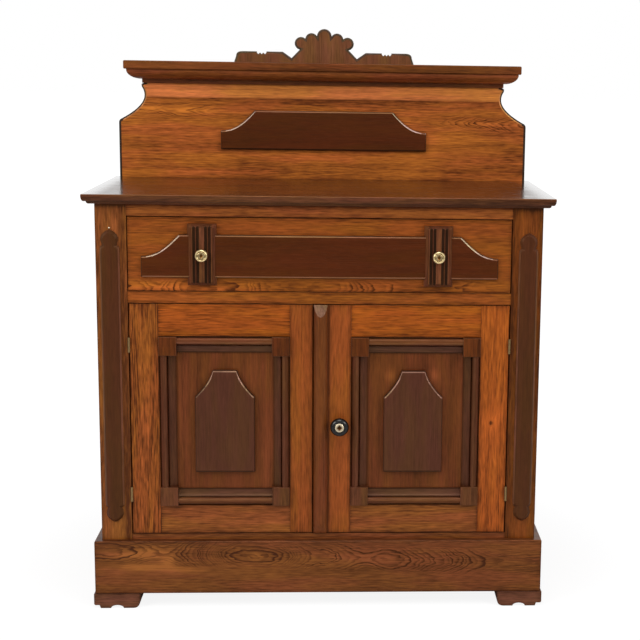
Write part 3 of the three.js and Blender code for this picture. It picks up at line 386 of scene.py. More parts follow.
# Sides: a chestnut frame of two stiles and two rails round a thinner flat panel with a standing
# grain. The joints between stile and rail are tight and show as a change of grain.
side_stain = (128, 70, 32)
front_stile, rear_stile, panel_groove = 0.036, 0.058, 0.009
for side, sign in (("left", -1), ("right", 1)):
    low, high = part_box(f"side_frame_{side}")
    inner_low, inner_high = low.y + front_stile, high.y - rear_stile
    frame_wood = [
        timber(f"side_stile_wood_{side}", "Z", "Y", (0.3, 0.5, sign * 0.3), side_stain, rings=0.4,
               seed=30.0 + sign, edges=(low.z, high.z, low.y, high.y)),
        timber(f"side_rail_wood_{side}", "Y", "Z", (0.0, 0.1, sign * 0.38), side_stain, rings=0.4,
               seed=33.0 + sign, edges=(inner_low, inner_high, low.z, high.z)),
    ]
    dress(f"side_frame_{side}", frame_wood, arris=0.0008,
          cuts=[((0, inner_low, 0), (0, 1, 0)), ((0, inner_high, 0), (0, 1, 0))],
          pick=lambda centre, normal: int(inner_low < centre.y < inner_high))
    low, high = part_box(f"side_panel_{side}")
    panel_wood = timber(f"side_panel_wood_{side}", "Z", "Y", (0.25, 0.03, sign * 0.38), side_stain,
                        ring=0.005, tilt=sign * 0.07, swirl=0.006, wave=0.008, seed=36.0 + sign,
                        edges=(low.z + panel_groove, high.z - panel_groove,
                               low.y + panel_groove, high.y - panel_groove))
    dress(f"side_panel_{side}", [panel_wood], arris=0.0004)


# Inside and back: plain, unvarnished pale boards. The floor of the cupboard runs across, the back
# is one thin panel with an upright grain and the runners are sticks with a ledge for the drawer.
inside_stain = (176, 130, 88)
unvarnished = {"rings": 0.4, "fibres": 0.5, "clouds": 0.5, "blush": 0.2}
for name, run, face, pith, seed in (
        ("cupboard_floor", "X", "Y", (0.1, 0.02, 0.05), 40.0),
        ("back_panel", "Z", "X", (0.3, 0.04, 0.15), 41.0),
        ("drawer_runner_left", "Y", "Z", (0.0, 0.7, -0.2), 42.0),
        ("drawer_runner_right", "Y", "Z", (0.0, 0.7, 0.2), 43.0)):
    plain = timber(name + "_wood", run, face, pith, inside_stain, ring=0.006, tilt=0.06, swirl=0.01,
                   wave=0.01, rough=0.62, seed=seed, **unvarnished)
    dress(name, [plain], arris=0.0006)


# Drawer box: sides dovetailed into the front and through the back, a thin bottom slid into grooves,
# all pale and unvarnished. The chestnut front has a bright, lively figure along its lower edge.
for name, run, face, pith, seed in (
        ("drawer_side_left", "Y", "Z", (0.0, 0.6, -0.1), 50.0),
        ("drawer_side_right", "Y", "Z", (0.0, 0.6, 0.1), 51.0),
        ("drawer_back", "X", "Z", (0.0, 0.6, 0.0), 52.0),
        ("drawer_bottom", "X", "Y", (0.0, 0.0, 0.5), 53.0)):
    plain = timber(name + "_wood", run, face, pith, inside_stain, ring=0.005, tilt=0.05, wave=0.006,
                   rough=0.6, seed=seed, **unvarnished)
    dress(name, [plain], arris=0.0004)
low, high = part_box("drawer_front")
drawer_figure = (0.012, 0.8, (
    (-0.36, -0.3, 0.01), (-0.3, -0.24, -0.022), (-0.24, -0.16, 0.01), (-0.16, -0.08, 0.025),
    (-0.08, 0.0, -0.006), (0.0, 0.17, 0.04), (0.2, 0.33, -0.01)))
# Painted shade round each fluted block on the drawer front.
shade_round_blocks = tuple((x, 0.678, 0.034, 0.078, -0.4) for x in (-0.2175, 0.2175))
drawer_flares = (
    (-0.32, 0.618, 0.045, 0.009, 1.0), (-0.265, 0.617, 0.03, 0.009, 1.0), (-0.2, 0.613, 0.03, 0.006, 1.0),
    (-0.13, 0.618, 0.05, 0.009, 0.5), (0.06, 0.618, 0.1, 0.009, 0.35), (0.3, 0.619, 0.07, 0.008, 0.3))
drawer_wood = timber("drawer_front_wood", "X", "Z", (0.0, 0.617, -0.16), (131, 69, 23), ring=0.0042,
                     rings=0.3, swirl=0.002, wave=0.005, clouds=0.7, seed=54.0, figure=drawer_figure,
                     edges=(low.x, high.x, low.z, high.z), flares=drawer_flares + shade_round_blocks)
dress("drawer_front", [drawer_wood], arris=0.0007)


# Drawer ornaments: one long walnut plaque with drooping ends, planted on the front, and two fluted
# blocks notched over it that carry the knobs. Their upper edges carry a painted highlight, and the
# hollows of the flutes painted shade.
# Painted highlights for the plates' upper arrises, bright and soft, and painted shade for the rest.
arris_highlight, soft_arris_highlight, plate_edge_shade = (
    timber(name, "X", "Z", (0.0, 0.0, 0.5), stain, rings=0.1, fibres=0.5)
    for name, stain in (("arris_highlight", (190, 166, 146)), ("soft_arris_highlight", (132, 90, 62)),
                        ("plate_edge_shade", (50, 27, 15))))
plate_face, drooping_arris, level_arris, plate_side = range(4)


def arris_light_and_shade(centre, normal, lower=plate_side):
    """Which wood a plate's face has: a painted highlight on its arris above, the wood named lower below."""
    if normal.y < -0.97:
        return plate_face
    if normal.y > -0.8:
        return plate_side
    if normal.z < -0.1:
        return lower
    if normal.z < 0.1:
        return plate_face
    return drooping_arris if abs(normal.x) > 0.08 else level_arris


def plant_plaque(name, pith, seed, pick):
    """Dress a dark walnut plate with a broad flat arris."""
    wood = timber(name + "_wood", "X", "Z", pith, (71, 31, 9), rings=0.22, fibres=0.5, clouds=0.6,
                  rough=0.26, seed=seed)
    dress(name, [wood, arris_highlight, soft_arris_highlight, plate_edge_shade], arris=0.0011, steps=1, pick=pick)


plant_plaque("drawer_plaque", (0.0, 0.55, -0.15), 60.0,
             lambda centre, normal: arris_light_and_shade(centre, normal, level_arris))
# The hollows of the flutes get a dark wood as painted shade.
block_face, block_ridge, block_hollow_shade, block_bevel = range(4)
block_woods = [
    timber(name, "Z", "X", (0.0, 0.0, 0.3), stain, rings=0.2, seed=seed)
    for name, stain, seed in (("drawer_block_ridge", (96, 56, 33), 62.0),
                              ("drawer_block_hollow", (40, 21, 12), 63.0),
                              ("drawer_block_bevel", (86, 46, 27), 64.0))]
flutes_end, lands_end = 0.0168, 0.0185
lands = ((0.0, 0.005), (0.0125, 0.0149), (flutes_end, lands_end))
for side, sign in (("left", -1), ("right", 1)):
    low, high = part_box(f"drawer_block_{side}")
    middle = (low.x + high.x) / 2
    block_wood = timber(f"drawer_block_wood_{side}", "Z", "X", (0.67, sign * 0.5, -0.15), (76, 40, 22),
                        rings=0.25, seed=61.0 + sign)

    def fluting(centre, normal, low=low, middle=middle):
        """Which wood a block's face has: painted shade in the hollows, paler lands and bevels."""
        aside = abs(centre.x - middle)
        if aside < flutes_end and abs(normal.z) < 0.3 and centre.y > low.y + 0.0003:
            return block_hollow_shade
        if any(inner <= aside < outer for inner, outer in lands):
            return block_ridge if normal.y < -0.9 else block_face
        return block_bevel if normal.y > -0.9 and centre.y < low.y + 0.006 else block_face

    dress(f"drawer_block_{side}", [block_wood] + block_woods, arris=0.0002, pick=fluting,
          cuts=[((middle + aside, 0, 0), (1, 0, 0)) for aside in (-lands_end, lands_end)])


# Drawer knobs: small turned brass discs on a short neck, a raised rim round a sunk four-point star
# that keeps its dark polish. The pin head of the left post strip is turned in the same way.
star_bow = 0.9


def brass(name, bright, dull, rough=0.28, base=0.45, star=None, rim=None):
    """Aged brass: worn bright where it is handled and on the rim, brown in the hollows and the star.

    The base is how bright it is where nothing wears it. A star is its middle and its half width and
    half height, and the wear begins inside the rim's radius.
    """
    material, shader, place = new_finish(name)
    cloud = place.node("ShaderNodeTexNoise", {}, {"Vector": place, "Scale": 700.0, "Detail": 3.0})
    shine = cloud.rise(0.25, 0.75) * 0.3 + base
    if star:
        split = place.node("ShaderNodeSeparateXYZ", {}, {0: place})
        right, up = split - star[0], split.out(2) - star[1]
        beside = place.math("ABSOLUTE", right / star[2]) ** star_bow
        above = place.math("ABSOLUTE", up / star[3]) ** star_bow
        wear_and_sheen = ((right * right + up * up) ** 0.5).rise(rim * 0.72, rim)
        shine = place.math("MINIMUM", shine + wear_and_sheen * 0.8, (beside + above).rise(0.8, 1.2))
    shine.mix(dull, bright).feed(shader.inputs["Base Color"])
    (rough + (cloud - 0.5) * 0.2).feed(shader.inputs["Roughness"])
    bump = place.node("ShaderNodeBump", {}, {"Strength": 0.06, "Distance": 0.0002, "Height": cloud})
    bump.feed(shader.inputs["Normal"])
    shader.inputs["Metallic"].default_value = 1.0
    return material


def turned(name, profile, centre, material, body, steps=64, star=None, sink=0.0012):
    """A turned piece on an axis towards -Y, from points of radius and reach, with a star sunk in it."""
    form = bmesh.new()
    points = [form.verts.new((radius, -reach, 0.0)) for radius, reach in profile]
    edges = [form.edges.new(pair) for pair in zip(points, points[1:])]
    bmesh.ops.spin(form, geom=points + edges, cent=(0, 0, 0), axis=(0, 1, 0), dvec=(0, 0, 0),
                   angle=2 * math.pi, steps=steps, use_merge=True, use_duplicate=False)
    bmesh.ops.remove_doubles(form, verts=form.verts, dist=1e-6)
    if star:
        behind = min(vert.co.y for vert in form.verts) + 0.004
        for vert in form.verts:
            spread = (abs(vert.co.x) / star[0]) ** star_bow + (abs(vert.co.z) / star[1]) ** star_bow
            if vert.co.y < behind and spread < 1.0:
                vert.co.y += sink * min(1.0, 2 * (1 - spread))
    bmesh.ops.recalc_face_normals(form, faces=form.faces)
    bmesh.ops.translate(form, vec=centre, verts=form.verts)
    return settle(name, form, [material], body, crease=38)


pin_profile = [(0.0, 0.0012), (0.0008, 0.0011), (0.0014, 0.0007), (0.0017, 0.0001), (0.0016, -0.0006),
               (0.0, -0.0006)]
strip_low, strip_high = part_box("post_strip_left")
over_the_tip = 0.0028
pin_at = ((strip_low.x + strip_high.x) / 2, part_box("front_post_left")[0].y, strip_high.z + over_the_tip)
pin_brass = brass("pin_brass", paint(236, 228, 208), paint(176, 150, 112), rough=0.35)
pin = turned("strip_pin", pin_profile, pin_at, pin_brass, "cabinet", steps=24)
knob_profile = [
    (0.0, 0.0), (0.0052, 0.0), (0.005, 0.0028), (0.0062, 0.0042), (0.0104, 0.0052), (0.0117, 0.0066),
    (0.012, 0.0082), (0.0118, 0.0102), (0.0109, 0.0122), (0.0098, 0.013), (0.0089, 0.0127),
    (0.0082, 0.0114), (0.0076, 0.0111), (0.0068, 0.0118), (0.006, 0.0121), (0.005, 0.0121),
    (0.004, 0.012), (0.003, 0.0119), (0.002, 0.0119), (0.001, 0.0119), (0.0, 0.0119)]
knob_star, knob_rim = (0.0042, 0.0064), 0.0095
for side in ("left", "right"):
    low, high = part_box(f"drawer_knob_{side}")
    knob_x, knob_z = (low.x + high.x) / 2, (low.z + high.z) / 2
    knob_brass = brass(f"knob_brass_{side}", paint(222, 202, 152), paint(92, 60, 26), base=0.26,
                       star=(knob_x, knob_z, *knob_star), rim=knob_rim)
    knob = turned(f"knob_{side}", knob_profile, (knob_x, high.y, knob_z), knob_brass, "drawer",
                  star=knob_star, sink=0.0008)
    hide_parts(f"drawer_knob_{side}")


# Door frames: chestnut stiles and rails, the stiles running through, all with a fine open grain.
# The left hinge stile has a flat-sawn figure and the right one a small knot.
pith_height, pith_depth = 0.45, -0.164
door_sticks = {
    "hinge_stile": ("Z", "X", 70.0, (148, 74, 25)), "meeting_stile": ("Z", "X", 71.0, (136, 71, 27)),
    "top_rail": ("X", "Z", 72.0, (141, 71, 20)), "bottom_rail": ("X", "Z", 73.0, (126, 70, 32)),
}
near_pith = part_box("left_door_hinge_stile")[1].x - 0.024
# A painted shadow on the right door's meeting stile, along the astragal.
astragal_shadow = (0.36, 0.0145, everywhere, 0.003, -0.8)
own_looks = {
    "left_door_hinge_stile": {"stain": (133, 71, 28), "pith": (pith_height, near_pith, pith_depth),
                              "ring": 0.0042, "rings": 1.2, "wave": 0.007, "fibres": 1.5},
    "left_door_meeting_stile": {"fibres": 0.75},
    "right_door_meeting_stile": {"fibres": 0.75, "flares": (astragal_shadow,)},
    "right_door_hinge_stile": {"knot": (0.3595, 0.3231, 0.009), "clouds": 0.9, "blush": 0.5},
}
for side, sign in (("left", -1), ("right", 1)):
    for stick, (run, face, seed, stain) in door_sticks.items():
        name = f"{side}_door_{stick}"
        low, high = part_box(name)
        edges = (low.z, high.z, low.x, high.x) if run == "Z" else (low.x, high.x, low.z, high.z)
        look = {"stain": stain, "pith": (pith_height, edges[2] - 0.1, pith_depth), "rings": 0.4,
                "fibres": 1.2, "clouds": 0.6, **own_looks.get(name, {})}
        wood = timber(name + "_wood", run, face, tilt=0.03, seed=seed + 5 * sign, edges=edges, **look)
        dress(name, [wood], arris=0.0006)


# Door panels: thin flat chestnut boards held in the grooves of the frames and darker than they are,
# the grain standing up. Painted highlights brighten them beside the shoulders of the shields.
for side, sign, left_glint, right_glint in (("left", -1, 0.2, 0.1), ("right", 1, 0.9, 0.8)):
    low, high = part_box(f"{side}_door_shield")
    # Painted highlights on the panel beside the shoulders of the shield.
    panel_wood = timber(f"{side}_panel_wood", "Z", "X", (0.3, sign * 0.3, -0.12), (97, 50, 23),
                        ring=0.005, rings=0.3, wave=0.006, fibres=0.55, seed=80.0 + sign,
                        flares=((high.z - 0.012, low.x + 0.013, 0.012, 0.009, left_glint),
                                (high.z - 0.01, high.x - 0.015, 0.012, 0.008, right_glint)))
    dress(f"{side}_door_panel", [panel_wood], arris=0)


# Panel mouldings: a walnut bead and cove mitred behind four plain corner blocks, planted between the
# frame and the panel. The bead is rubbed reddish, with a painted highlight on its crest and on the
# sides of the blocks, the cove is dull and the quirks are painted nearly black with shade, but for
# the one between bead and cove on the level lengths, where painted light makes it pale.
# Wood 3 of each run: a painted highlight, and painted light in the level middle quirk. Wood 2: painted shade.
bead, cove, quirk, wear_and_sheen, level, low_block, high_block = 0, 1, 2, 3, 4, 8, 9
profile_stains = (("bead", (76, 40, 22), (88, 47, 26)), ("cove", (74, 42, 26), (78, 48, 34)),
                  ("quirk", (62, 30, 13), (48, 25, 13)), ("wear_and_sheen", (86, 50, 31), (102, 61, 38)))
profile_woods = [
    timber(f"moulding_{part}_{run}", run, face, (0.3, -0.5, -0.1), stains[row], rings=0.2, fibres=0.7,
           clouds=0.7, seed=90.0)
    for row, (run, face) in enumerate((("Z", "X"), ("X", "Z"))) for part, *stains in profile_stains]
block_width, block_height, block_proud = 0.0335, 0.0365, 0.0022
outer_quirk, highlit_crest, middle_quirk, inner_quirk = 0.0026, (0.0098, 0.0122), (0.0148, 0.0172), 0.0275
for side, sign in (("left", -1), ("right", 1)):
    low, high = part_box(f"{side}_door_moulding")
    corner_woods = [
        timber(f"{side}_block_low", "Z", "X", (0.3, sign * 0.6, -0.1), (86, 50, 29), rings=0.2,
               seed=93.0 + sign, edges=(low.z - no_edge, high.z, low.x, high.x)),
        timber(f"{side}_block_high", "Z", "X", (0.3, sign * 0.6, -0.1), (84, 40, 13), rings=0.2,
               seed=95.0 + sign, edges=(low.z, high.z + no_edge, low.x, high.x)),
    ]

    def moulding_part(centre, normal, low=low, high=high):
        """Which wood a face has, by how far in from the outside of the frame it lies."""
        in_x = min(centre.x - low.x, high.x - centre.x)
        in_z = min(centre.z - low.z, high.z - centre.z)
        if in_x < block_width and in_z < block_height and centre.y < low.y + block_proud:
            if normal.y > -0.9:
                return wear_and_sheen
            return low_block if centre.z < (low.z + high.z) / 2 else high_block
        if in_x < block_width - 0.0005 and in_z < block_height - 0.0005 and abs(normal.y) < 0.1:
            return quirk
        run = level if in_z < in_x else 0
        depth = min(in_x, in_z)
        between = middle_quirk[0] < depth < middle_quirk[1]
        # Painted light in the middle quirk of the level lengths.
        if run and between:
            return run + wear_and_sheen
        if depth < outer_quirk or between or depth > inner_quirk or abs(normal.y) < 0.15:
            return run + quirk
        if depth > middle_quirk[1]:
            return run + cove
        return run + (wear_and_sheen if highlit_crest[0] < depth < highlit_crest[1] else bead)

    dress(f"{side}_door_moulding", profile_woods + corner_woods, arris=0.0, pick=moulding_part)


# Shields: walnut plates with a short level top and hollow shoulders, planted in the middle of each
# panel. Their arris is broad, with a painted highlight above and painted shade below.
# A painted highlight for the upper arris of the shields.
shield_highlight = timber("shield_highlight", "X", "Z", (0.0, 0.0, 0.5), (132, 102, 82), rings=0.1, clouds=3.0)
for side, sign in (("left", -1), ("right", 1)):
    shield_wood = timber(f"{side}_shield_wood", "Z", "X", (0.3, sign * 0.5, -0.1), (75, 42, 28),
                         rings=0.22, fibres=0.45, clouds=0.6, seed=96.0 + sign)
    dress(f"{side}_door_shield", [shield_wood, shield_highlight, shield_highlight, plate_edge_shade], arris=0.0009,
          steps=1, pick=arris_light_and_shade)


# Astragal: a walnut half-round bead on the edge of the right door, its ends cut back on a slope whose
# upper face carries a painted highlight.
bead_wood = timber("astragal_wood", "Z", "X", (0.4, 0.3, -0.1), (101, 52, 25), rings=0.25, fibres=0.7,
                   seed=99.0)
bead_end_highlight = timber("astragal_end", "Z", "X", (0.4, 0.3, -0.1), (118, 88, 66), rings=0.15, seed=99.5)
dress("astragal", [bead_wood, bead_end_highlight], arris=0.0002,
      pick=lambda centre, normal: int(0.2 < normal.z < 0.99))


# Hinges: small brass butts let into the edges of the doors and the posts, two to a door. Only their
# barrels are in view when the doors are shut.
hinge_brass = brass("hinge_brass", paint(160, 134, 92), paint(92, 66, 38), rough=0.36)
for side in ("left", "right"):
    for height in ("lower", "upper"):
        for leaf in ("fixed", "door"):
            dress(f"{side}_{height}_hinge_{leaf}_leaf", [hinge_brass], arris=0.00015)


# Latch knob: a black japanned ring with a brass boss in its middle, on a steel-hard brass spindle
# that carries a flat tongue behind the door.
def japan(name):
    """Black stoved enamel: deep gloss with fine dust and rubbing."""
    material, shader, place = new_finish(name)
    dust = place.node("ShaderNodeTexNoise", {}, {"Vector": place, "Scale": 400.0, "Detail": 3.0})
    dust.rise(0.4, 0.75).mix(paint(9, 8, 8), paint(22, 18, 15)).feed(shader.inputs["Base Color"])
    (0.1 + dust * 0.1).feed(shader.inputs["Roughness"])
    shader.inputs["Specular IOR Level"].default_value = 0.35
    return material


latch_low, latch_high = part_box("latch_knob")
latch_x, latch_z = (latch_low.x + latch_high.x) / 2, 0.355
latch_at = (latch_x, latch_low.y, latch_z)
ring_profile = [
    (0.0096, -0.0006), (0.0106, 0.0), (0.0124, -0.0002), (0.0146, -0.0014), (0.0164, -0.0036),
    (0.0174, -0.0066), (0.0174, -0.0088), (0.0158, -0.011), (0.0105, -0.0165), (0.0085, -0.0185),
    (0.0085, -0.0205), (0.013, -0.0228), (0.0133, -0.0237), (0.0, -0.0237), (0.0, -0.006),
    (0.0096, -0.006), (0.0096, -0.0006)]
boss_profile = [
    (0.0, -0.0008), (0.001, -0.0008), (0.002, -0.0008), (0.003, -0.0008), (0.004, -0.0007),
    (0.005, -0.0007), (0.006, -0.0006), (0.007, -0.0007), (0.0078, -0.0009), (0.0086, -0.0015),
    (0.0092, -0.0026), (0.0094, -0.0055), (0.0, -0.0055)]
boss_star, boss_rim = (0.0062, 0.0062), 0.0078
boss_brass = brass("boss_brass", paint(226, 210, 178), paint(58, 34, 14),
                   star=(latch_x, latch_z, *boss_star), rim=boss_rim)
ring = turned("latch_ring", ring_profile, latch_at, japan("black_japan"), "latch")
boss = turned("latch_boss", boss_profile, latch_at, boss_brass, "latch", star=boss_star)
spindle_radius, spindle_length = 0.004, 0.0245
tongue_width, tongue_thick, tongue_length, tongue_drop = 0.012, 0.003, 0.072, 0.03
spindle_at = Matrix.Translation((latch_x, latch_high.y - spindle_length / 2, latch_z))
tongue_at = Matrix.Translation((latch_x, latch_high.y - tongue_thick / 2, latch_z - tongue_drop))
form = bmesh.new()
bmesh.ops.create_cone(form, cap_ends=True, segments=32, radius1=spindle_radius, radius2=spindle_radius,
                      depth=spindle_length, matrix=spindle_at @ Matrix.Rotation(math.pi / 2, 4, "X"))
bmesh.ops.create_cube(form, size=1.0, matrix=tongue_at
                      @ Matrix.Diagonal((tongue_width, tongue_thick, tongue_length, 1.0)))
soften(form, [edge for edge in form.edges if edge.calc_face_angle(0) > 1], 0.0004, 2)
tongue = settle("latch_tongue", form, [hinge_brass], "latch")
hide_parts("latch_knob")
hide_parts("latch_knob")


# Top: one walnut board with a moulded edge. The face is French-polished, so that it mirrors the
# splash board, though bowl and jug have dulled its middle,
# and the front arris carries a painted highlight.
top_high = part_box("countertop")[1]
arris_height = 0.0012
top_wood = [
    timber("countertop_polish", "X", "Y", (0.1, 0.0, 0.6), (44, 21, 8), ring=0.005, rings=0.35, tilt=0.04,
           wave=0.01, rough=0.08, seed=101.0),
    timber("countertop_edge", "X", "Z", (0.1, 0.6, -0.1), (85, 49, 30), rings=0.25, seed=102.0,
           flares=((-0.43, 0.78, 0.12, 0.1, -0.25), (0.43, 0.78, 0.18, 0.1, -0.35))),
    # The pale arris wood is a painted highlight.
    timber("countertop_arris", "X", "Z", (0.1, 0.6, -0.1), (102, 61, 35), rings=0.1, seed=103.0),
]
top_nodes = top_wood[0].node_tree.nodes
polish = top_nodes["Principled BSDF"].inputs
polish["Coat Roughness"].default_value = 0.04
polish["Specular IOR Level"].default_value = 0.5
place = Wire(top_nodes.new("ShaderNodeTexCoord").outputs["Object"])
dulled_to, kept_from = 0.39, 0.43
from_middle = place.math("ABSOLUTE", place.node("ShaderNodeSeparateXYZ", {}, {0: place}))
kept = from_middle.rise(dulled_to, kept_from)
(Wire(polish["Roughness"].links[0].from_socket) + (1.0 - kept) * 0.12).feed(polish["Roughness"])
(kept * 0.88 + 0.12).feed(polish["Coat Weight"])


def top_part(centre, normal):
    """0 on the polished face, 1 on the moulded edge, 2 on the arris between them, a painted highlight."""
    if normal.z > 0.9:
        return 0
    return 2 if normal.z > 0.2 and centre.z > top_high.z - arris_height else 1


dress("countertop", top_wood, arris=0.0003, pick=top_part)


# Splash board: a wide chestnut board glued up from two planks, the upper one quieter and lighter,
# standing in a housing in the top. Its swept ends have a dark rounded arris, with a painted highlight
# along its inner edge above the sweep.
plank_joint, foot_line, ends_from, sweep_from = 0.9529, 0.7865, 0.788, 0.9
low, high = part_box("splash_board")
splash_figure = (0.0155, 1.15, ((-0.345, -0.2, -0.02), (0.21, 0.44, -0.045)))
splash_flares = (
    (-0.35, 0.9285, 0.04, 0.005, 0.9), (-0.287, 0.9275, 0.022, 0.006, 0.9), (-0.24, 0.926, 0.016, 0.005, 0.8),
    (0.33, 0.907, 0.1, 0.006, 0.3), (-0.35, 0.87, 0.12, 0.08, 0.12), (0.42, 0.85, 0.09, 0.08, -0.25))
# The pale arris is a painted highlight along the inner edge of the swept ends.
low_plank, high_plank, dark_arris, splash_arris_highlight, sawn_end = range(5)
splash_wood = [
    timber("splash_plank_low", "X", "Z", (0.0, 0.918, 0.193), (151, 82, 33), ring=0.0042, rings=0.35,
           swirl=0.003, lean=0.034, fibres=1.15, clouds=1.3, seed=110.0,
           edges=(low.x - 0.001, high.x + 0.001, foot_line, plank_joint),
           figure=splash_figure, flares=splash_flares),
    # The upper plank's flare at its upper left is a painted glare.
    timber("splash_plank_high", "X", "Z", (0.0, 1.1, 0.2), (194, 115, 58), ring=0.0045, rings=0.2,
           fibres=0.65, clouds=0.7, seed=111.0, edges=(low.x - 0.02, high.x + 0.02, plank_joint, high.z),
           flares=((-0.35, 0.966, 0.12, 0.014, 0.25),)),
    timber("splash_edge", "Z", "Y", (0.9, 0.5, 0.2), (34, 25, 19), rings=0.2, rough=0.55, seed=112.0),
    timber("splash_arris", "Z", "X", (0.9, 0.5, 0.5), (176, 118, 70), rings=0.1, seed=113.0),
    timber("splash_end", "Z", "Y", (0.9, 0.5, 0.2), (84, 47, 24), rings=0.3, seed=114.5),
]


def splash_part(centre, normal):
    """Which wood a face has: the two planks, and over the top the sawn ends and their arrises."""
    if abs(normal.x) > 0.02 and centre.z > ends_from:
        if normal.y > -0.2:
            return sawn_end
        if normal.y < -0.98:
            return splash_arris_highlight if centre.z > sweep_from else low_plank
        return dark_arris
    return high_plank if centre.z > plank_joint else low_plank


def splash_front_edge(at):
    """The front edge of the swept ends, from the top up to the crown."""
    return abs(at.x) > 0.3 and at.y < 0.2 and ends_from < at.z < high.z - 0.002


dress("splash_board", splash_wood, arris=0.0008, cuts=[((0, 0, plank_joint), (0, 0, 1))],
      pick=splash_part, broad=(0.0052, 4, splash_front_edge))
plant_plaque("splash_plaque", (0.0, 0.7, 0.2), 114.0, arris_light_and_shade)


# Crown: a walnut ovolo mitred round the head of the splash board, over a fillet painted dark with
# the shade under it, and a plain projecting shelf on top of it. Both are glued on and keep more of
# their gloss than the board.
# The fillet, the lowest part of the moulding, is painted dark as shade under the ovolo.
fillet_height = 0.0078
crown_wood = [
    timber("crown_moulding_wood", "X", "Z", (0.0, 0.6, 0.1), (126, 67, 35), rings=0.25, rough=0.26,
           seed=120.0),
    timber("crown_fillet_wood", "X", "Z", (0.0, 0.6, 0.1), (92, 48, 24), rings=0.2, seed=121.0),
]
low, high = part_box("crown_moulding")
dress("crown_moulding", crown_wood, arris=0.0003,
      pick=lambda centre, normal: int(centre.z < low.z + fillet_height))
# The shelf's flare at its upper left is a painted glare.
shelf_wood = timber("crown_shelf_wood", "X", "Z", (0.0, 0.6, 0.1), (95, 50, 21), rings=0.25, rough=0.26,
                    seed=122.0, flares=((-0.3, 1.02, 0.2, 0.03, 0.3),))
dress("crown_shelf", [shelf_wood], arris=0.0004)


# Crest: a fretted walnut board, its grain upright, sawn to a fan between two notched wings and glued
# along the crown shelf. Its front arris is broad and worn grey, and the sawn edges are dull.
crest_face, crest_arris, crest_side = range(3)
crest_wood = [
    timber("crest_wood", "Z", "X", (1.05, 0.3, 0.1), (99, 61, 37), rings=0.2, fibres=0.6, clouds=0.6,
           rough=0.42, seed=125.0),
    timber("crest_edge", "Z", "X", (1.05, 0.3, 0.1), (62, 48, 36), rings=0.2, rough=0.5, seed=126.0),
    timber("crest_side", "Z", "Y", (1.05, 0.3, 0.1), (78, 50, 33), rings=0.2, rough=0.5, seed=127.0),
]
crest_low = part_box("crest")[0]
notch_middle, notch_half = 0.128, 0.0102


def crest_part(centre, normal):
    """Which wood a face has: the front, back and foot, the broad front arris, or the sawn edge."""
    if abs(normal.y) > 0.98 or centre.z < crest_low.z + 0.001:
        return crest_face
    return crest_side if normal.y > -0.2 else crest_arris


def crest_front_edge(at):
    """The front edge of the fan and the wings, but for the foot and the small notches."""
    in_front = at.z > crest_low.z + 0.003 and at.y < crest_low.y + 0.001
    return in_front and abs(abs(at.x) - notch_middle) > notch_half


dress("crest", crest_wood, arris=0.0004, pick=crest_part, broad=(0.0045, 3, crest_front_edge))


# Studio: a pale floor that keeps the shadow, three soft lamps, a white surround, and the camera
# where the photograph was taken from.
floor_paint, floor_shader, spot = new_finish("studio_floor")
floor_shader.inputs["Base Color"].default_value = (0.85, 0.85, 0.85, 1.0)
floor_shader.inputs["Roughness"].default_value = 0.9
floor_shader.inputs["Specular IOR Level"].default_value = 0.0
# What the camera sees of it is mostly white light, a little less of it near the feet
near_share, near_reach, far_reach = 0.82, 0.45, 1.1
distance = spot.node("ShaderNodeVectorMath", {"operation": "LENGTH"}, {0: spot}, output="Value")
white = near_share + distance.rise(near_reach, far_reach) * (1.0 - near_share)
rays = spot.node("ShaderNodeLightPath", {}, {}, output="Is Camera Ray")
glow = spot.node("ShaderNodeEmission", {}, {"Color": (1.0, 1.0, 1.0, 1.0), "Strength": 1.08})
blend = spot.node("ShaderNodeMixShader", {}, {
    0: rays * white, 1: Wire(floor_shader.outputs[0]), 2: glow})
blend.feed(floor_paint.node_tree.nodes["Material Output"].inputs["Surface"])
bpy.ops.mesh.primitive_plane_add(size=80.0, location=(0, 0, 0))
floor = bpy.context.object
floor.name = "studio_floor"
floor.data.materials.append(floor_paint)

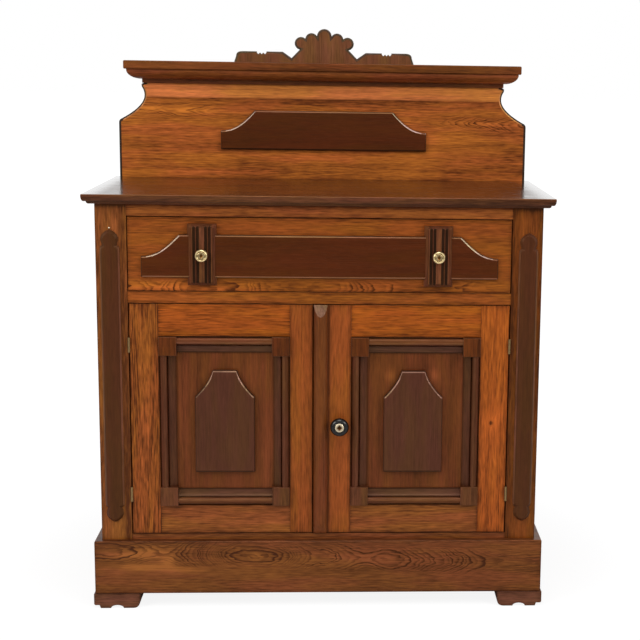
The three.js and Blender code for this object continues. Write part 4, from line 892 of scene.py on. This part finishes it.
lamp_target = Vector((0, 0, 0.6))
for name, place, size, power in (("lamp_left", (-2.3, -1.9, 2.0), 1.5, 43.0),
                                 ("lamp_right", (2.3, -1.9, 2.0), 1.5, 39.0),
                                 ("lamp_top", (0.0, -1.2, 3.0), 1.6, 31.0)):
    lamp = bpy.data.lights.new(name, "AREA")
    lamp.shape = "DISK"
    lamp.size = size
    lamp.energy = power
    holder = bpy.data.objects.new(name, lamp)
    bpy.context.scene.collection.objects.link(holder)
    holder.location = place
    holder.rotation_euler = (lamp_target - Vector(place)).to_track_quat("-Z", "Y").to_euler()

world = bpy.context.scene.world or bpy.data.worlds.new("studio")
bpy.context.scene.world = world
world.use_nodes = True
surround = world.node_tree.nodes["Background"]
path = Wire(world.node_tree.nodes.new("ShaderNodeLightPath").outputs["Is Camera Ray"])
mirrored = path.math("MAXIMUM", path.out("Is Glossy Ray"), path.out("Is Transmission Ray"))
seen = path.math("MAXIMUM", path, mirrored)
surround.inputs["Color"].default_value = (1.0, 1.0, 1.0, 1.0)
ambient = 0.28
(ambient + seen * (1.0 - ambient)).feed(surround.inputs["Strength"])

sensor, frame_pixels, focal_pixels, shift_pixels = 36.0, 640.0, 1450.0, -110.0
yaw, pitch, roll = math.radians(3.499), math.radians(10.086), math.radians(0.936)
eye_at = (0.0409, -2.849, 1.0325)
lens = bpy.data.cameras.new("photograph")
lens.sensor_width = sensor
lens.lens = sensor * focal_pixels / frame_pixels
lens.shift_x = shift_pixels / frame_pixels
eye = bpy.data.objects.new("photograph", lens)
bpy.context.scene.collection.objects.link(eye)
ahead = Vector((math.sin(yaw) * math.cos(pitch), math.cos(yaw) * math.cos(pitch), -math.sin(pitch)))
right = Vector((math.cos(yaw), -math.sin(yaw), 0.0))
above = right.cross(ahead)
rolled_right = right * math.cos(roll) + above * math.sin(roll)
rolled_above = above * math.cos(roll) - right * math.sin(roll)
turn = Matrix((rolled_right, rolled_above, -ahead)).transposed().to_4x4()
eye.matrix_world = Matrix.Translation(eye_at) @ turn
bpy.context.scene.camera = eye
bpy.context.scene.view_settings.view_transform = "Standard"
